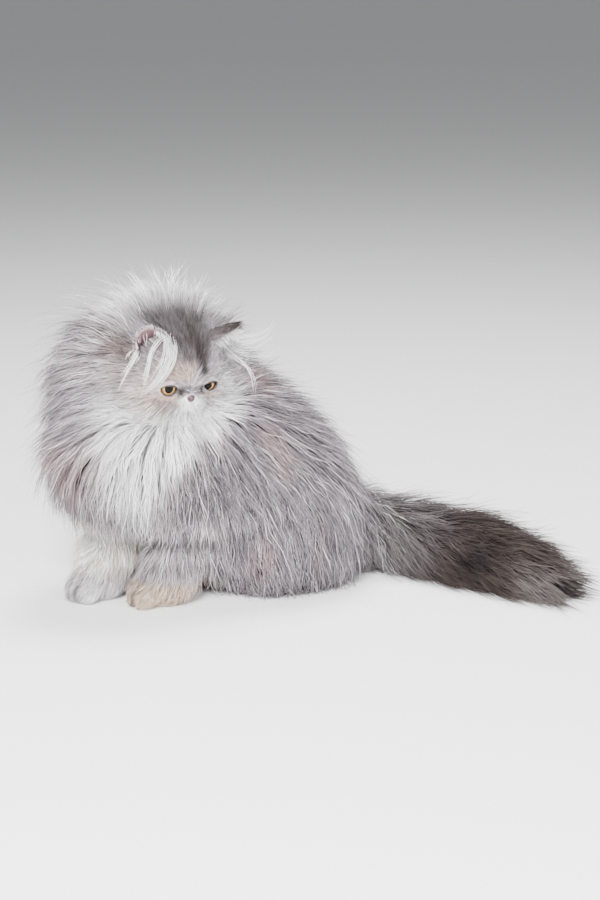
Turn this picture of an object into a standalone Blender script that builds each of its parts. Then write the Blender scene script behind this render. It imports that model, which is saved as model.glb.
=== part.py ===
"""A sitting Persian cat as a still, life-size model, in metres, +Z up.

+X runs along the longest extent, from the front paws to the tip of the tail, and +Y runs to the far side.
The origin is at floor level under the middle of the model. The body is laid out in its own frame, measured
backward from the front paws, to the cat's left, and up. The head has a second frame, measured forward, to
its left, and up. The flesh with half its coat is a smooth union of ellipsoids and tapered limbs. The outer
coat is flat, tapered locks that follow the lie of the hair. The whole is parted into nodes by thin cuts.
"""

import math

import bmesh
import bpy
import numpy as np
from mathutils import Matrix, Vector

# Frames
BODY_YAW = math.radians(32)
BODY_ORIGIN = np.array([-0.190, -0.095, 0.0])
HEAD_CENTRE = np.array([-0.130, -0.079, 0.247])
HEAD_YAW = math.radians(29)
HEAD_PITCH = math.radians(18)

# Driving sizes
PART_GAP = 0.0003
SCRAP_VOLUME = 3e-8
SKULL_WIDTH = 0.088
EYE_RADIUS = 0.0108
EYE_SPACING = 0.047
EYE_FORWARD = 0.0262
LID_THICKNESS = 0.0018
EYE_OPENING = (0.0092, 0.0050, 0.0078)
EAR_HEIGHT = 0.032
EAR_SUNK = 0.010
EAR_HALF_WIDTH = 0.0165
EAR_THICKNESS = 0.0022
CORE_SHARE = 0.45
FLOOR_CLEARANCE = 0.0006
BODY_BLEND = 0.022
HEAD_BLEND = 0.007
LEG_BLEND = 0.005


def unit(vector):
    """The vector, or each row of an array of vectors, at length one."""
    length = np.linalg.norm(vector, axis=-1, keepdims=True)
    return vector / np.maximum(length, 1e-9)


BACKWARD = np.array([math.cos(BODY_YAW), math.sin(BODY_YAW), 0.0])
LEFTWARD = np.array([math.sin(BODY_YAW), -math.cos(BODY_YAW), 0.0])
UPWARD = np.array([0.0, 0.0, 1.0])
FACING = np.array(
    [
        math.sin(HEAD_YAW) * math.cos(HEAD_PITCH),
        -math.cos(HEAD_YAW) * math.cos(HEAD_PITCH),
        -math.sin(HEAD_PITCH),
    ]
)
HEAD_LEFT = np.array([math.cos(HEAD_YAW), math.sin(HEAD_YAW), 0.0])
HEAD_UP = np.cross(FACING, HEAD_LEFT)


def body_point(back, left, up):
    """A point given in the body's frame."""
    return BODY_ORIGIN + back * BACKWARD + left * LEFTWARD + up * UPWARD


def head_point(forward, left, up):
    """A point given in the head's frame."""
    return HEAD_CENTRE + forward * FACING + left * HEAD_LEFT + up * HEAD_UP


BODY_AXES = np.stack([BACKWARD, LEFTWARD, UPWARD])
HEAD_AXES = np.stack([FACING, HEAD_LEFT, HEAD_UP])


# Forms of flesh. Each has a region, its skin size, and the depth of the coat over it.
def limb(region, start, end, start_radius, end_radius, coat):
    """A tapered limb with round ends."""
    return {
        "region": region,
        "start": np.array(start),
        "end": np.array(end),
        "radii": (start_radius, end_radius),
        "coat": coat,
    }


def egg(region, centre, radii, axes, coat):
    """An ellipsoid with its radii along the rows of axes. Its coat is one depth, or one along each axis."""
    return {
        "region": region,
        "centre": np.array(centre),
        "radii": np.array(radii),
        "axes": axes,
        "coat": np.array(coat),
    }


# The tail's line on the floor: position, flesh radius and coat depth at each joint of the line.
TAIL_LINE = (
    (body_point(0.236, 0.006, 0.060), 0.017, 0.034),
    (np.array([0.080, 0.038, 0.040]), 0.013, 0.042),
    (np.array([0.132, 0.024, 0.031]), 0.011, 0.043),
    (np.array([0.188, -0.012, 0.026]), 0.009, 0.043),
    (np.array([0.244, -0.062, 0.021]), 0.006, 0.036),
)


def foreleg_forms(side, elbow, wrist, toes):
    """Upper arm, forearm, wrist and paw with four toes; toes is the middle of the paw's front edge."""
    region = "foreleg"
    elbow, wrist, toes = body_point(*elbow), body_point(*wrist), body_point(*toes)
    shoulder = elbow + 0.3 * (body_point(0.062, 0.036 * side, 0.150) - elbow)
    aim = unit(toes - wrist * [1, 1, 0] - [0, 0, toes[2]])
    across = np.cross(UPWARD, aim)
    heel = wrist * [1, 1, 0] + [0, 0, 0.016] + aim * 0.004
    forms = [
        limb(region, shoulder, elbow, 0.026, 0.023, 0.034),
        limb(region, elbow, wrist, 0.023, 0.0140, 0.026),
        limb("paw", wrist, heel, 0.0140, 0.0140, 0.012),
        limb("paw", heel, toes - aim * 0.012, 0.0145, 0.0110, 0.008),
    ]
    for place in (-1.5, -0.5, 0.5, 1.5):
        spread = across * place * 0.0098
        back = aim * (0.0040 * abs(place))
        knuckle = toes + spread - back - aim * 0.015 + UPWARD * 0.004
        tip = toes + spread * 1.15 - back - aim * 0.004 - UPWARD * 0.0035
        forms.append(limb("paw", knuckle, tip, 0.0070, 0.0074, 0.003))
    return forms


def thigh_forms(side):
    """Thigh and shank, folded against the flank."""
    return [
        egg(
            "haunch",
            body_point(0.184, 0.044 * side, 0.072),
            (0.056, 0.034, 0.060),
            BODY_AXES,
            0.040,
        ),
        limb(
            "haunch",
            body_point(0.150, 0.052 * side, 0.058),
            body_point(0.212, 0.048 * side, 0.030),
            0.024,
            0.020,
            0.026,
        ),
    ]


def foot_forms(side):
    """The long hind foot that lies flat under the haunch, with four toes."""
    heel, toes = body_point(0.212, 0.046 * side, 0.0145), body_point(0.136, 0.050 * side, 0.012)
    forms = [limb("foot", heel, toes + BACKWARD * 0.010, 0.013, 0.011, 0.010)]
    for place in (-1.5, -0.5, 0.5, 1.5):
        spread = LEFTWARD * place * 0.0090 + BACKWARD * (0.003 * abs(place))
        forms.append(limb("foot", toes + spread + BACKWARD * 0.010, toes + spread, 0.0068, 0.0072, 0.003))
    return forms


def tail_forms():
    """The tail as a chain of tapered lengths."""
    chain = []
    for (start, thick, coat), (end, thin, _) in zip(TAIL_LINE, TAIL_LINE[1:]):
        chain.append(limb("tail", start, end, thick, thin, coat))
    return chain


BODY_FORMS = [
    egg("ruff", body_point(0.030, 0.0, 0.138), (0.045, 0.040, 0.052), BODY_AXES, (0.078, 0.060, 0.055)),
    egg("shoulder", body_point(0.082, 0.0, 0.142), (0.060, 0.050, 0.054), BODY_AXES, 0.048),
    limb("back", body_point(0.110, 0.0, 0.172), body_point(0.172, 0.0, 0.124), 0.046, 0.050, 0.050),
    egg("flank", body_point(0.132, 0.0, 0.096), (0.076, 0.058, 0.066), BODY_AXES, 0.044),
    egg("rump", body_point(0.194, 0.0, 0.084), (0.052, 0.056, 0.058), BODY_AXES, 0.038),
    limb("neck", body_point(0.095, 0.0, 0.180), head_point(-0.030, 0.0, -0.020), 0.042, 0.034, 0.020),
    egg("mane", head_point(-0.038, -0.010, -0.015), (0.022, 0.042, 0.040), HEAD_AXES, (0.016, 0.092, 0.060)),
    egg("mane", (-0.192, -0.060, 0.192), (0.028, 0.028, 0.040), np.eye(3), 0.050),
    *thigh_forms(1),
    *thigh_forms(-1),
    *tail_forms(),
]

# Each foreleg: its side, elbow, wrist and toes.
LEFT_LEG = (1, (0.080, 0.042, 0.100), (0.046, 0.030, 0.040), (0.006, 0.019, 0.012))
RIGHT_LEG = (-1, (0.060, -0.040, 0.100), (-0.002, -0.026, 0.038), (-0.041, -0.026, 0.012))
FORELEG_LEFT_FORMS = foreleg_forms(*LEFT_LEG)
FORELEG_RIGHT_FORMS = foreleg_forms(*RIGHT_LEG)
FOOT_LEFT_FORMS = foot_forms(1)
FOOT_RIGHT_FORMS = foot_forms(-1)

HEAD_FORMS = [
    egg("skull", head_point(-0.004, 0.0, 0.004), (0.042, SKULL_WIDTH / 2, 0.040), HEAD_AXES, 0.012),
    egg("skull", head_point(0.012, 0.0, 0.014), (0.027, 0.032, 0.026), HEAD_AXES, 0.008),
    egg("face", head_point(0.018, 0.0, -0.014), (0.022, 0.034, 0.021), HEAD_AXES, 0.006),
    egg("nose", head_point(0.0345, 0.0, -0.0045), (0.0060, 0.0075, 0.0100), HEAD_AXES, 0.002),
    egg("nose", head_point(0.0400, 0.0, -0.0100), (0.0040, 0.0066, 0.0046), HEAD_AXES, 0.0),
    egg("chin", head_point(0.0290, 0.0, -0.0300), (0.0100, 0.0120, 0.0080), HEAD_AXES, 0.006),
]
for side in (-1, 1):
    eye = head_point(EYE_FORWARD, side * EYE_SPACING / 2, 0.0)
    HEAD_FORMS += [
        egg("cheek", head_point(0.008, 0.026 * side, -0.016), (0.026, 0.022, 0.023), HEAD_AXES, 0.016),
        egg("brow", head_point(0.0250, 0.0190 * side, 0.0115), (0.0095, 0.0130, 0.0062), HEAD_AXES, 0.004),
        egg("muzzle", head_point(0.0320, 0.0085 * side, -0.0195), (0.0100, 0.0105, 0.0082), HEAD_AXES, 0.003),
        egg("lid", eye, [EYE_RADIUS + LID_THICKNESS] * 3, HEAD_AXES, 0.0),
    ]


# Each surface: its name, forms, blend, voxel and triangles.
SURFACES = (
    ("body", BODY_FORMS, BODY_BLEND, 0.0080, 1150),
    ("head", HEAD_FORMS, HEAD_BLEND, 0.0024, 1550),
    ("foreleg_left", FORELEG_LEFT_FORMS, LEG_BLEND, 0.0034, 340),
    ("foreleg_right", FORELEG_RIGHT_FORMS, LEG_BLEND, 0.0034, 340),
    ("foot_left", FOOT_LEFT_FORMS, LEG_BLEND, 0.0034, 120),
    ("foot_right", FOOT_RIGHT_FORMS, LEG_BLEND, 0.0034, 120),
)


def smooth_union(first, second, blend):
    """Two distances joined with a fillet about as wide as blend."""
    share = np.clip(0.5 + 0.5 * (second - first) / blend, 0, 1)
    return second * (1 - share) + first * share - blend * share * (1 - share)


def form_distance(form, points, share):
    """How far each point is outside a form that is grown by a share of its coat."""
    grow = form["coat"] * share
    if "start" in form:
        line = form["end"] - form["start"]
        along = np.clip((points - form["start"]) @ line / max(line @ line, 1e-9), 0, 1)
        radius = form["radii"][0] + along * (form["radii"][1] - form["radii"][0]) + grow
        return np.linalg.norm(points - form["start"] - along[:, None] * line, axis=1) - radius
    local = (points - form["centre"]) @ form["axes"].T
    radii = form["radii"] + grow
    scaled = np.linalg.norm(local / radii, axis=1)
    slope = np.linalg.norm(local / radii**2, axis=1)
    return scaled * (scaled - 1) / np.maximum(slope, 1e-9)


def distance(forms, points, share, blend):
    """How far each point is outside the smooth union of the forms."""
    total = form_distance(forms[0], points, share)
    for form in forms[1:]:
        total = smooth_union(total, form_distance(form, points, share), blend)
    return total


def slope(forms, points, share, blend):
    """The outward direction at each point."""
    step = 0.0008
    parts = []
    for axis in np.eye(3) * step:
        ahead = distance(forms, points + axis, share, blend)
        behind = distance(forms, points - axis, share, blend)
        parts.append(ahead - behind)
    return unit(np.stack(parts, axis=1))


# Mesh helpers
def clear_scene():
    for obj in list(bpy.data.objects):
        bpy.data.objects.remove(obj, do_unlink=True)


def new_collection(name):
    made = bpy.data.collections.new(name)
    bpy.context.scene.collection.children.link(made)
    return made


def object_from(name, mesh, collection):
    obj = bpy.data.objects.new(name, mesh)
    collection.objects.link(obj)
    return obj


def object_from_bmesh(name, bm, collection):
    """A new object from the bmesh, with its faces turned outward."""
    bm.normal_update()
    bmesh.ops.recalc_face_normals(bm, faces=bm.faces)
    mesh = bpy.data.meshes.new(name)
    bm.to_mesh(mesh)
    bm.free()
    return object_from(name, mesh, collection)


def evaluated_mesh(obj):
    """A new mesh with the object's modifiers applied."""
    graph = bpy.context.evaluated_depsgraph_get()
    return bpy.data.meshes.new_from_object(obj.evaluated_get(graph))


def apply_modifiers(obj):
    mesh = evaluated_mesh(obj)
    obj.modifiers.clear()
    obj.data = mesh


def points_of(mesh):
    flat = np.empty(len(mesh.vertices) * 3)
    mesh.vertices.foreach_get("co", flat)
    return flat.reshape(-1, 3)


def rough_form(bm, form, share):
    """Spheres that fill one form, as a start for the remesh."""
    grow = form["coat"] * share
    if "start" in form:
        steps = 1 + int(np.linalg.norm(form["end"] - form["start"]) / (0.4 * (min(form["radii"]) + grow)))
        for along in np.linspace(0, 1, steps + 1):
            centre = form["start"] + along * (form["end"] - form["start"])
            radius = form["radii"][0] + along * (form["radii"][1] - form["radii"][0]) + grow
            place = Matrix.Translation(Vector(centre))
            bmesh.ops.create_icosphere(bm, subdivisions=3, radius=radius, matrix=place)
        return
    turn = Matrix([list(row) for row in form["axes"].T]).to_4x4()
    scale = Matrix.Diagonal(Vector((*(form["radii"] + grow), 1.0)))
    place = Matrix.Translation(Vector(form["centre"])) @ turn @ scale
    bmesh.ops.create_icosphere(bm, subdivisions=4, radius=1.0, matrix=place)


def settle(mesh, forms, share, blend, rounds):
    """Moves the mesh's points onto the smooth union's surface."""
    points = points_of(mesh)
    for _ in range(rounds):
        outward = slope(forms, points, share, blend)
        points = points - outward * distance(forms, points, share, blend)[:, None]
    mesh.vertices.foreach_set("co", points.ravel())
    mesh.update()


def flesh_object(name, forms, share, blend, voxel, triangles, collection):
    """One closed surface around the forms: remeshed, settled on their smooth union, and made coarser."""
    bm = bmesh.new()
    for form in forms:
        rough_form(bm, form, share)
    obj = object_from_bmesh(name, bm, collection)
    remesh = obj.modifiers.new("fuse", "REMESH")
    remesh.mode = "VOXEL"
    remesh.voxel_size = voxel
    apply_modifiers(obj)
    settle(obj.data, forms, share, blend, 4)
    relax = obj.modifiers.new("relax", "SMOOTH")
    relax.factor = 0.5
    relax.iterations = 3
    apply_modifiers(obj)
    settle(obj.data, forms, share, blend, 3)
    count = sum(len(face.vertices) - 2 for face in obj.data.polygons)
    coarse = obj.modifiers.new("coarsen", "DECIMATE")
    coarse.ratio = min(1.0, triangles / count)
    coarse.use_collapse_triangulate = True
    apply_modifiers(obj)
    settle(obj.data, forms, share, blend, 1)
    return obj


def boolean(obj, operation, other, solver="MANIFOLD"):
    """Applies a Boolean with another object or a whole collection."""
    modifier = obj.modifiers.new(operation.lower(), "BOOLEAN")
    modifier.operation = operation
    modifier.solver = solver
    if isinstance(other, bpy.types.Collection):
        modifier.operand_type = "COLLECTION"
        modifier.collection = other
    else:
        modifier.object = other
    apply_modifiers(obj)


def remove_objects(collection):
    for obj in list(collection.objects):
        bpy.data.objects.remove(obj, do_unlink=True)


def closed_surfaces(bm):
    """Labels each point of a triangulated bmesh with its closed surface, and gives each surface's volume."""
    bm.verts.ensure_lookup_table()
    label = [-1] * len(bm.verts)
    volumes = []
    for vert in bm.verts:
        if label[vert.index] >= 0:
            continue
        number, front, volume = len(volumes), [vert], 0.0
        label[vert.index] = number
        while front:
            for face in front.pop().link_faces:
                corners = [corner.co for corner in face.verts]
                volume += corners[0].dot(corners[1].cross(corners[2])) / 18
                for corner in face.verts:
                    if label[corner.index] < 0:
                        label[corner.index] = number
                        front.append(corner)
        volumes.append(volume)
    return label, volumes


def keep_largest(obj):
    """Keeps the closed surface that holds the most, which also fills a sealed hollow."""
    bm = bmesh.new()
    bm.from_mesh(obj.data)
    bmesh.ops.triangulate(bm, faces=bm.faces)
    label, volumes = closed_surfaces(bm)
    largest = volumes.index(max(volumes))
    spare = [vert for vert in bm.verts if label[vert.index] != largest]
    bmesh.ops.delete(bm, geom=spare, context="VERTS")
    bm.to_mesh(obj.data)
    bm.free()


def loose_pieces(obj):
    """The points of each piece that is neither the largest nor a scrap."""
    bm = bmesh.new()
    bm.from_mesh(obj.data)
    bmesh.ops.triangulate(bm, faces=bm.faces)
    label, volumes = closed_surfaces(bm)
    largest = volumes.index(max(volumes)) if volumes else 0
    pieces = []
    for number, volume in enumerate(volumes):
        if number != largest and volume > SCRAP_VOLUME:
            inside = [vert.co[:] for vert in bm.verts if label[vert.index] == number]
            pieces.append(np.array(inside))
    bm.free()
    return pieces


def box_object(name, axes, centre, low, high, collection):
    """A box whose low and high corners are given along axes from centre."""
    low, high = np.array(low), np.array(high)
    turn = Matrix([list(row) for row in np.array(axes).T]).to_4x4()
    middle = np.array(centre) + (low + high) / 2 @ np.array(axes)
    scale = Matrix.Diagonal(Vector((*(high - low), 1.0)))
    bm = bmesh.new()
    bmesh.ops.create_cube(bm, size=1.0, matrix=Matrix.Translation(Vector(middle)) @ turn @ scale)
    return object_from_bmesh(name, bm, collection)


# The head
def eye_centre(side):
    return head_point(EYE_FORWARD, side * EYE_SPACING / 2, 0.0)


def eye_axes(side):
    """Out of the eye, along the lids to the cat's left, and up. Each eye looks a little outward."""
    outward = unit(FACING + 0.16 * side * HEAD_LEFT)
    along = unit(np.cross(HEAD_UP, outward))
    tilt = math.radians(9) * side
    turned = math.cos(tilt) * along + math.sin(tilt) * np.cross(outward, along)
    return np.stack([outward, turned, np.cross(outward, turned)])


def sphere_object(name, centre, axes, radii, collection, segments=14, rings=9):
    """A UV sphere with its pole along the first axis and its radii along the axes."""
    bm = bmesh.new()
    bmesh.ops.create_uvsphere(bm, u_segments=segments, v_segments=rings, radius=1.0)
    columns = np.array([axes[1] * radii[1], axes[2] * radii[2], axes[0] * radii[0]]).T
    for vert in bm.verts:
        vert.co = Vector(centre + columns @ np.array(vert.co))
    return object_from_bmesh(name, bm, collection)


def eye_opening(side, collection):
    """A prism through the lids: a flat upper edge and a round lower one."""
    half_width, above, below = EYE_OPENING
    axes = eye_axes(side)
    start = eye_centre(side) + axes[0] * EYE_RADIUS * 0.35
    bm = bmesh.new()
    bmesh.ops.create_cone(bm, cap_ends=True, segments=20, radius1=1.0, radius2=1.0, depth=1.0)
    for vert in bm.verts:
        across, rise, out = vert.co
        rise *= above if rise > 0 else below
        reach = (out + 0.5) * 0.030
        vert.co = Vector(start + axes[1] * across * half_width + axes[2] * rise + axes[0] * reach)
    return object_from_bmesh(f"opening_{side}", bm, collection)


def face_line(points, forms, share):
    """The points moved onto the face's surface."""
    line = np.array([head_point(*point) for point in points])
    for _ in range(4):
        off = distance(forms, line, share, HEAD_BLEND)[:, None]
        line = line - slope(forms, line, share, HEAD_BLEND) * off
    return line


def tube_object(name, line, radius, collection):
    """A round bar along a line, as a welded mesh."""
    curve = bpy.data.curves.new(name, "CURVE")
    curve.dimensions = "3D"
    curve.bevel_depth = radius
    curve.bevel_resolution = 1
    curve.use_fill_caps = True
    spline = curve.splines.new("POLY")
    spline.points.add(len(line) - 1)
    for point, place in zip(spline.points, line):
        point.co = (*place, 1.0)
    guide = object_from(name + "_guide", curve, collection)
    bpy.context.view_layer.update()
    mesh = evaluated_mesh(guide)
    bpy.data.objects.remove(guide, do_unlink=True)
    bm = bmesh.new()
    bm.from_mesh(mesh)
    bmesh.ops.remove_doubles(bm, verts=bm.verts, dist=1e-5)
    return object_from_bmesh(name, bm, collection)


def mouth_lines():
    """The cleft under the nose and the two lips that curve from it."""
    cleft = [(0.046, 0.0, -0.0140), (0.044, 0.0, -0.0180), (0.042, 0.0, -0.0225)]
    lines = [cleft]
    for side in (-1, 1):
        lip = []
        for along in np.linspace(0, 1, 7):
            drop = -0.0225 - 0.0035 * math.sin(math.pi * along * 0.75)
            lip.append((0.042 - 0.018 * along**2, side * 0.0195 * along, drop))
        lines.append(lip)
    return lines


def face_cuts(whole, cutters):
    """The sockets and lid openings, the nostrils and the mouth line."""
    for side in (-1, 1):
        boolean(whole, "DIFFERENCE", eye_opening(side, cutters))
        socket = [EYE_RADIUS + PART_GAP] * 3
        ball = sphere_object("socket", eye_centre(side), eye_axes(side), socket, cutters)
        boolean(whole, "DIFFERENCE", ball)
        nostril = head_point(0.0437, 0.0031 * side, -0.0102)
        long_way, short_way = side * HEAD_LEFT + 0.5 * HEAD_UP, HEAD_UP - 0.5 * side * HEAD_LEFT
        slant = np.stack([FACING, unit(long_way), unit(short_way)])
        radii = (0.003, 0.0017, 0.0010)
        boolean(whole, "DIFFERENCE", sphere_object("nostril", nostril, slant, radii, cutters, 8, 6))
    for number, points in enumerate(mouth_lines()):
        line = face_line(points, HEAD_FORMS, CORE_SHARE)
        boolean(whole, "DIFFERENCE", tube_object(f"mouth_{number}", line, 0.0008, cutters))


# The ears
def ear_frame(side):
    """Base, and the directions to the tip, out of the cup, and across it."""
    base = head_point(0.002, 0.0330 * side, 0.0270)
    tip = unit(0.22 * FACING + 0.78 * side * HEAD_LEFT + 0.58 * HEAD_UP)
    mouth = 0.90 * FACING + 0.12 * side * HEAD_LEFT - 0.16 * HEAD_UP
    mouth = unit(mouth - (mouth @ tip) * tip)
    return base, tip, mouth, np.cross(tip, mouth)


def ear_shell(side, collection):
    """A cup with a round tip, bent from a flat grid and thickened."""
    base, tip, mouth, across = ear_frame(side)
    bm = bmesh.new()
    bmesh.ops.create_grid(bm, x_segments=6, y_segments=4, size=1.0)
    for vert in bm.verts:
        turn = vert.co.x * math.radians(100)
        rise = (vert.co.y + 1) / 2
        half = EAR_HALF_WIDTH * (1 - 0.90 * rise**3.2) ** 0.5
        deep = half * (0.75 - 0.30 * rise)
        height = -EAR_SUNK + rise * (EAR_HEIGHT + EAR_SUNK)
        place = base + tip * height - mouth * deep * math.cos(turn) + across * half * math.sin(turn)
        vert.co = Vector(place + mouth * 0.35 * deep)
    ear = object_from_bmesh("ear_shell", bm, collection)
    shell = ear.modifiers.new("thickness", "SOLIDIFY")
    shell.thickness = EAR_THICKNESS
    shell.offset = 0.0
    apply_modifiers(ear)
    bm = bmesh.new()
    bm.from_mesh(ear.data)
    bm.normal_update()
    bmesh.ops.recalc_face_normals(bm, faces=bm.faces)
    bmesh.ops.triangulate(bm, faces=bm.faces)
    bm.to_mesh(ear.data)
    bm.free()
    return ear


def ear_plug(side, collection):
    """The flesh that fills the bottom of the cup and roots the ear in the head."""
    base, tip, mouth, across = ear_frame(side)
    centre = base - tip * 0.004
    radii = (0.0075, EAR_HALF_WIDTH * 0.97, 0.0105)
    return sphere_object("ear_plug", centre, np.stack([tip, across, mouth]), radii, collection, 10, 6)


def hull_object(name, points, grow, collection):
    """The convex hull of some points, grown by adding a small cross at each point."""
    bm = bmesh.new()
    for point in points:
        for step in (*np.eye(3), *-np.eye(3)):
            bm.verts.new(Vector(point + step * grow))
    made = bmesh.ops.convex_hull(bm, input=bm.verts)
    spare = [item for item in made["geom_interior"] if isinstance(item, bmesh.types.BMVert)]
    spare += [item for item in made["geom_unused"] if isinstance(item, bmesh.types.BMVert)]
    bmesh.ops.delete(bm, geom=list(set(spare)), context="VERTS")
    return object_from_bmesh(name, bm, collection)


# The locks of the coat
# By region: the spacing of the roots, the length, the half width, and how closely a lock hugs the coat.
LOCKS = {
    "crest": (0.021, 0.056, 0.0120, 0.60),
    "mane": (0.031, 0.086, 0.0190, 0.75),
    "ruff": (0.033, 0.082, 0.0190, 0.80),
    "neck": (0.033, 0.072, 0.0190, 0.85),
    "shoulder": (0.036, 0.076, 0.0200, 0.85),
    "back": (0.036, 0.074, 0.0200, 0.75),
    "flank": (0.038, 0.076, 0.0205, 0.45),
    "rump": (0.038, 0.066, 0.0195, 0.60),
    "haunch": (0.040, 0.074, 0.0210, 0.45),
    "fringe": (0.026, 0.062, 0.0165, 0.20),
    "tail": (0.032, 0.080, 0.0155, 0.45),
    "foreleg": (0.040, 0.050, 0.0170, 0.85),
    "paw": (0.032, 0.026, 0.0100, 0.90),
    "foot": (0.050, 0.026, 0.0100, 0.90),
    "skull": (0.027, 0.036, 0.0130, 0.80),
    "cheek": (0.025, 0.038, 0.0130, 0.80),
    "chin": (0.015, 0.020, 0.0070, 0.70),
}
LOCK_PROFILE = (0.70, 1.00, 0.84)
LOCK_FLATNESS = 0.45
LOCK_SUNK = 0.007
LOCK_STEPS = 12
LOCK_SEED = 13
FRINGE_HEIGHT = 0.050
FRINGE_LENGTH = (0.086, 0.250)
CREST_FROM = 0.035


def tail_run(points):
    """The tail's direction at the joint nearest to each point, and the way out from its line."""
    joints = np.array([joint[0] for joint in TAIL_LINE])
    runs = unit(joints[1:] - joints[:-1])
    middles = (joints[1:] + joints[:-1]) / 2
    nearest = np.argmin(np.linalg.norm(points[:, None] - middles, axis=2), axis=1)
    run = runs[nearest]
    offset = points - middles[nearest]
    return run, unit(offset - (offset * run).sum(axis=1, keepdims=True) * run)


def lie(region, points):
    """The way the hair runs at each point of a region, before it is laid along the coat."""
    from_face = points - HEAD_CENTRE
    forward = from_face @ FACING
    radial = unit(from_face - forward[:, None] * FACING)
    weight = 0.55 * (1 - np.clip(radial[:, 2:], 0, 1))
    away = unit(radial - 0.40 * FACING - weight * UPWARD)
    if region in ("mane", "crest"):
        return away
    if region in ("skull", "cheek"):
        return unit(radial - 0.75 * FACING - 0.30 * UPWARD)
    if region == "chin":
        return np.tile(unit(0.25 * FACING - UPWARD), (len(points), 1))
    if region == "tail":
        run, out = tail_run(points)
        return unit(run + 0.40 * out - 0.12 * UPWARD)
    if region in ("paw", "foot"):
        return np.tile(unit(-0.8 * BACKWARD - 0.7 * UPWARD), (len(points), 1))
    back = (points - BODY_ORIGIN) @ BACKWARD
    left = (points - BODY_ORIGIN) @ LEFTWARD
    rearward = np.clip((back - 0.03) / 0.10, -0.3, 1.0)[:, None]
    spread = np.clip(left / 0.08, -1, 1)[:, None]
    body = unit(0.75 * rearward * BACKWARD + 0.18 * spread * LEFTWARD - UPWARD)
    if region == "fringe":
        return unit(0.15 * BACKWARD + 0.15 * spread * LEFTWARD - UPWARD)
    near = np.clip(1.3 - np.linalg.norm(from_face, axis=1) / 0.12, 0, 1)[:, None]
    return unit(near * away + (1 - near) * body)


def fringe_roots(random):
    """A row of roots along each side of the belly, whose locks hang to the floor."""
    roots = []
    for side in (-1, 1):
        for back in np.arange(*FRINGE_LENGTH, LOCKS["fringe"][0]):
            shift = random.uniform(-0.3, 0.3) * LOCKS["fringe"][0]
            roots.append(body_point(back + shift, side * 0.11, FRINGE_HEIGHT * random.uniform(0.75, 1.3)))
    roots = np.array(roots)
    for _ in range(8):
        off = distance(BODY_FORMS, roots, CORE_SHARE, BODY_BLEND)[:, None]
        away = slope(BODY_FORMS, roots, CORE_SHARE, BODY_BLEND) * [1, 1, 0]
        roots = roots - unit(away) * off
    return list(roots)


def lock_roots(name, mesh, forms, blend, random):
    """Scattered points on one surface with the spacing of their regions, clear of the other surfaces."""
    mesh.calc_loop_triangles()
    corners = points_of(mesh)[np.array([list(tri.vertices) for tri in mesh.loop_triangles])]
    area = np.linalg.norm(np.cross(corners[:, 1] - corners[:, 0], corners[:, 2] - corners[:, 0]), axis=1)
    chosen = random.choice(len(corners), 5000, p=area / area.sum())
    weights = random.dirichlet((1.0, 1.0, 1.0), 5000)
    points = np.einsum("ij,ijk->ik", weights, corners[chosen])
    reach = np.stack([form_distance(form, points, CORE_SHARE) for form in forms])
    region = np.array([form["region"] for form in forms])[reach.argmin(axis=0)]
    outward = slope(forms, points, CORE_SHARE, blend)
    clear = (outward[:, 2] > -0.7) & (points[:, 2] > 0.012)
    for other, other_forms, other_blend, _, _ in SURFACES:
        if other != name:
            clear &= distance(other_forms, points, CORE_SHARE, other_blend) > 0.001
    for side in (-1, 1):
        clear &= np.linalg.norm(points - eye_centre(side), axis=1) > 0.024
        clear &= np.linalg.norm(points - ear_frame(side)[0], axis=1) > 0.015
    region[(region == "mane") & ((points - HEAD_CENTRE) @ HEAD_UP > CREST_FROM)] = "crest"
    kept = fringe_roots(random) if name == "body" else []
    kinds = ["fringe"] * len(kept)
    for point, kind, free in zip(points, region, clear):
        if not free or kind not in LOCKS:
            continue
        spacing = LOCKS[kind][0]
        if all(np.linalg.norm(point - other) > spacing for other in kept):
            kept.append(point)
            kinds.append(kind)
    return np.array(kept), kinds


def lock_lines(forms, blend, roots, kinds, random):
    """The middle lines of the locks and the way out of the coat along them, as (lock, station, axis)."""
    count = len(roots)
    length = np.array([LOCKS[kind][1] for kind in kinds]) * random.uniform(0.82, 1.20, count)
    hug = np.array([LOCKS[kind][3] for kind in kinds])[:, None]
    curl = random.uniform(-0.7, 0.7, count)[:, None]
    rise = random.uniform(0.92, 1.08, count)
    points = roots - LOCK_SUNK * slope(forms, roots, CORE_SHARE, blend)
    line, ways = [points], []
    stride = length / LOCK_STEPS
    for step in range(1, LOCK_STEPS + 1):
        along = step / LOCK_STEPS
        outward = slope(forms, points, CORE_SHARE, blend)
        if len(ways) < len(line):
            ways.append(outward)
        flow = np.empty_like(points)
        for kind in set(kinds):
            chosen = np.array(kinds) == kind
            flow[chosen] = lie(kind, points[chosen])
        leaving = (flow * outward).sum(axis=1, keepdims=True)
        run = unit(flow - np.where(leaving > 0, hug, 1.0) * leaving * outward)
        run = unit(run + curl * (along - 0.35) * np.cross(outward, run))
        points = points + run * stride[:, None]
        inner = distance(forms, points, CORE_SHARE, blend)
        depth = inner - distance(forms, points, 1.0, blend)
        want = -LOCK_SUNK + (depth * rise + LOCK_SUNK) * along**0.9
        points = points + outward * np.clip(want - inner, -0.25 * stride, 0.9 * stride)[:, None]
        points[:, 2] = np.maximum(points[:, 2], FLOOR_CLEARANCE + 0.0025)
        if step % (LOCK_STEPS // len(LOCK_PROFILE)) == 0:
            line.append(points)
    return np.stack(line, axis=1), np.stack(ways, axis=1)


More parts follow.
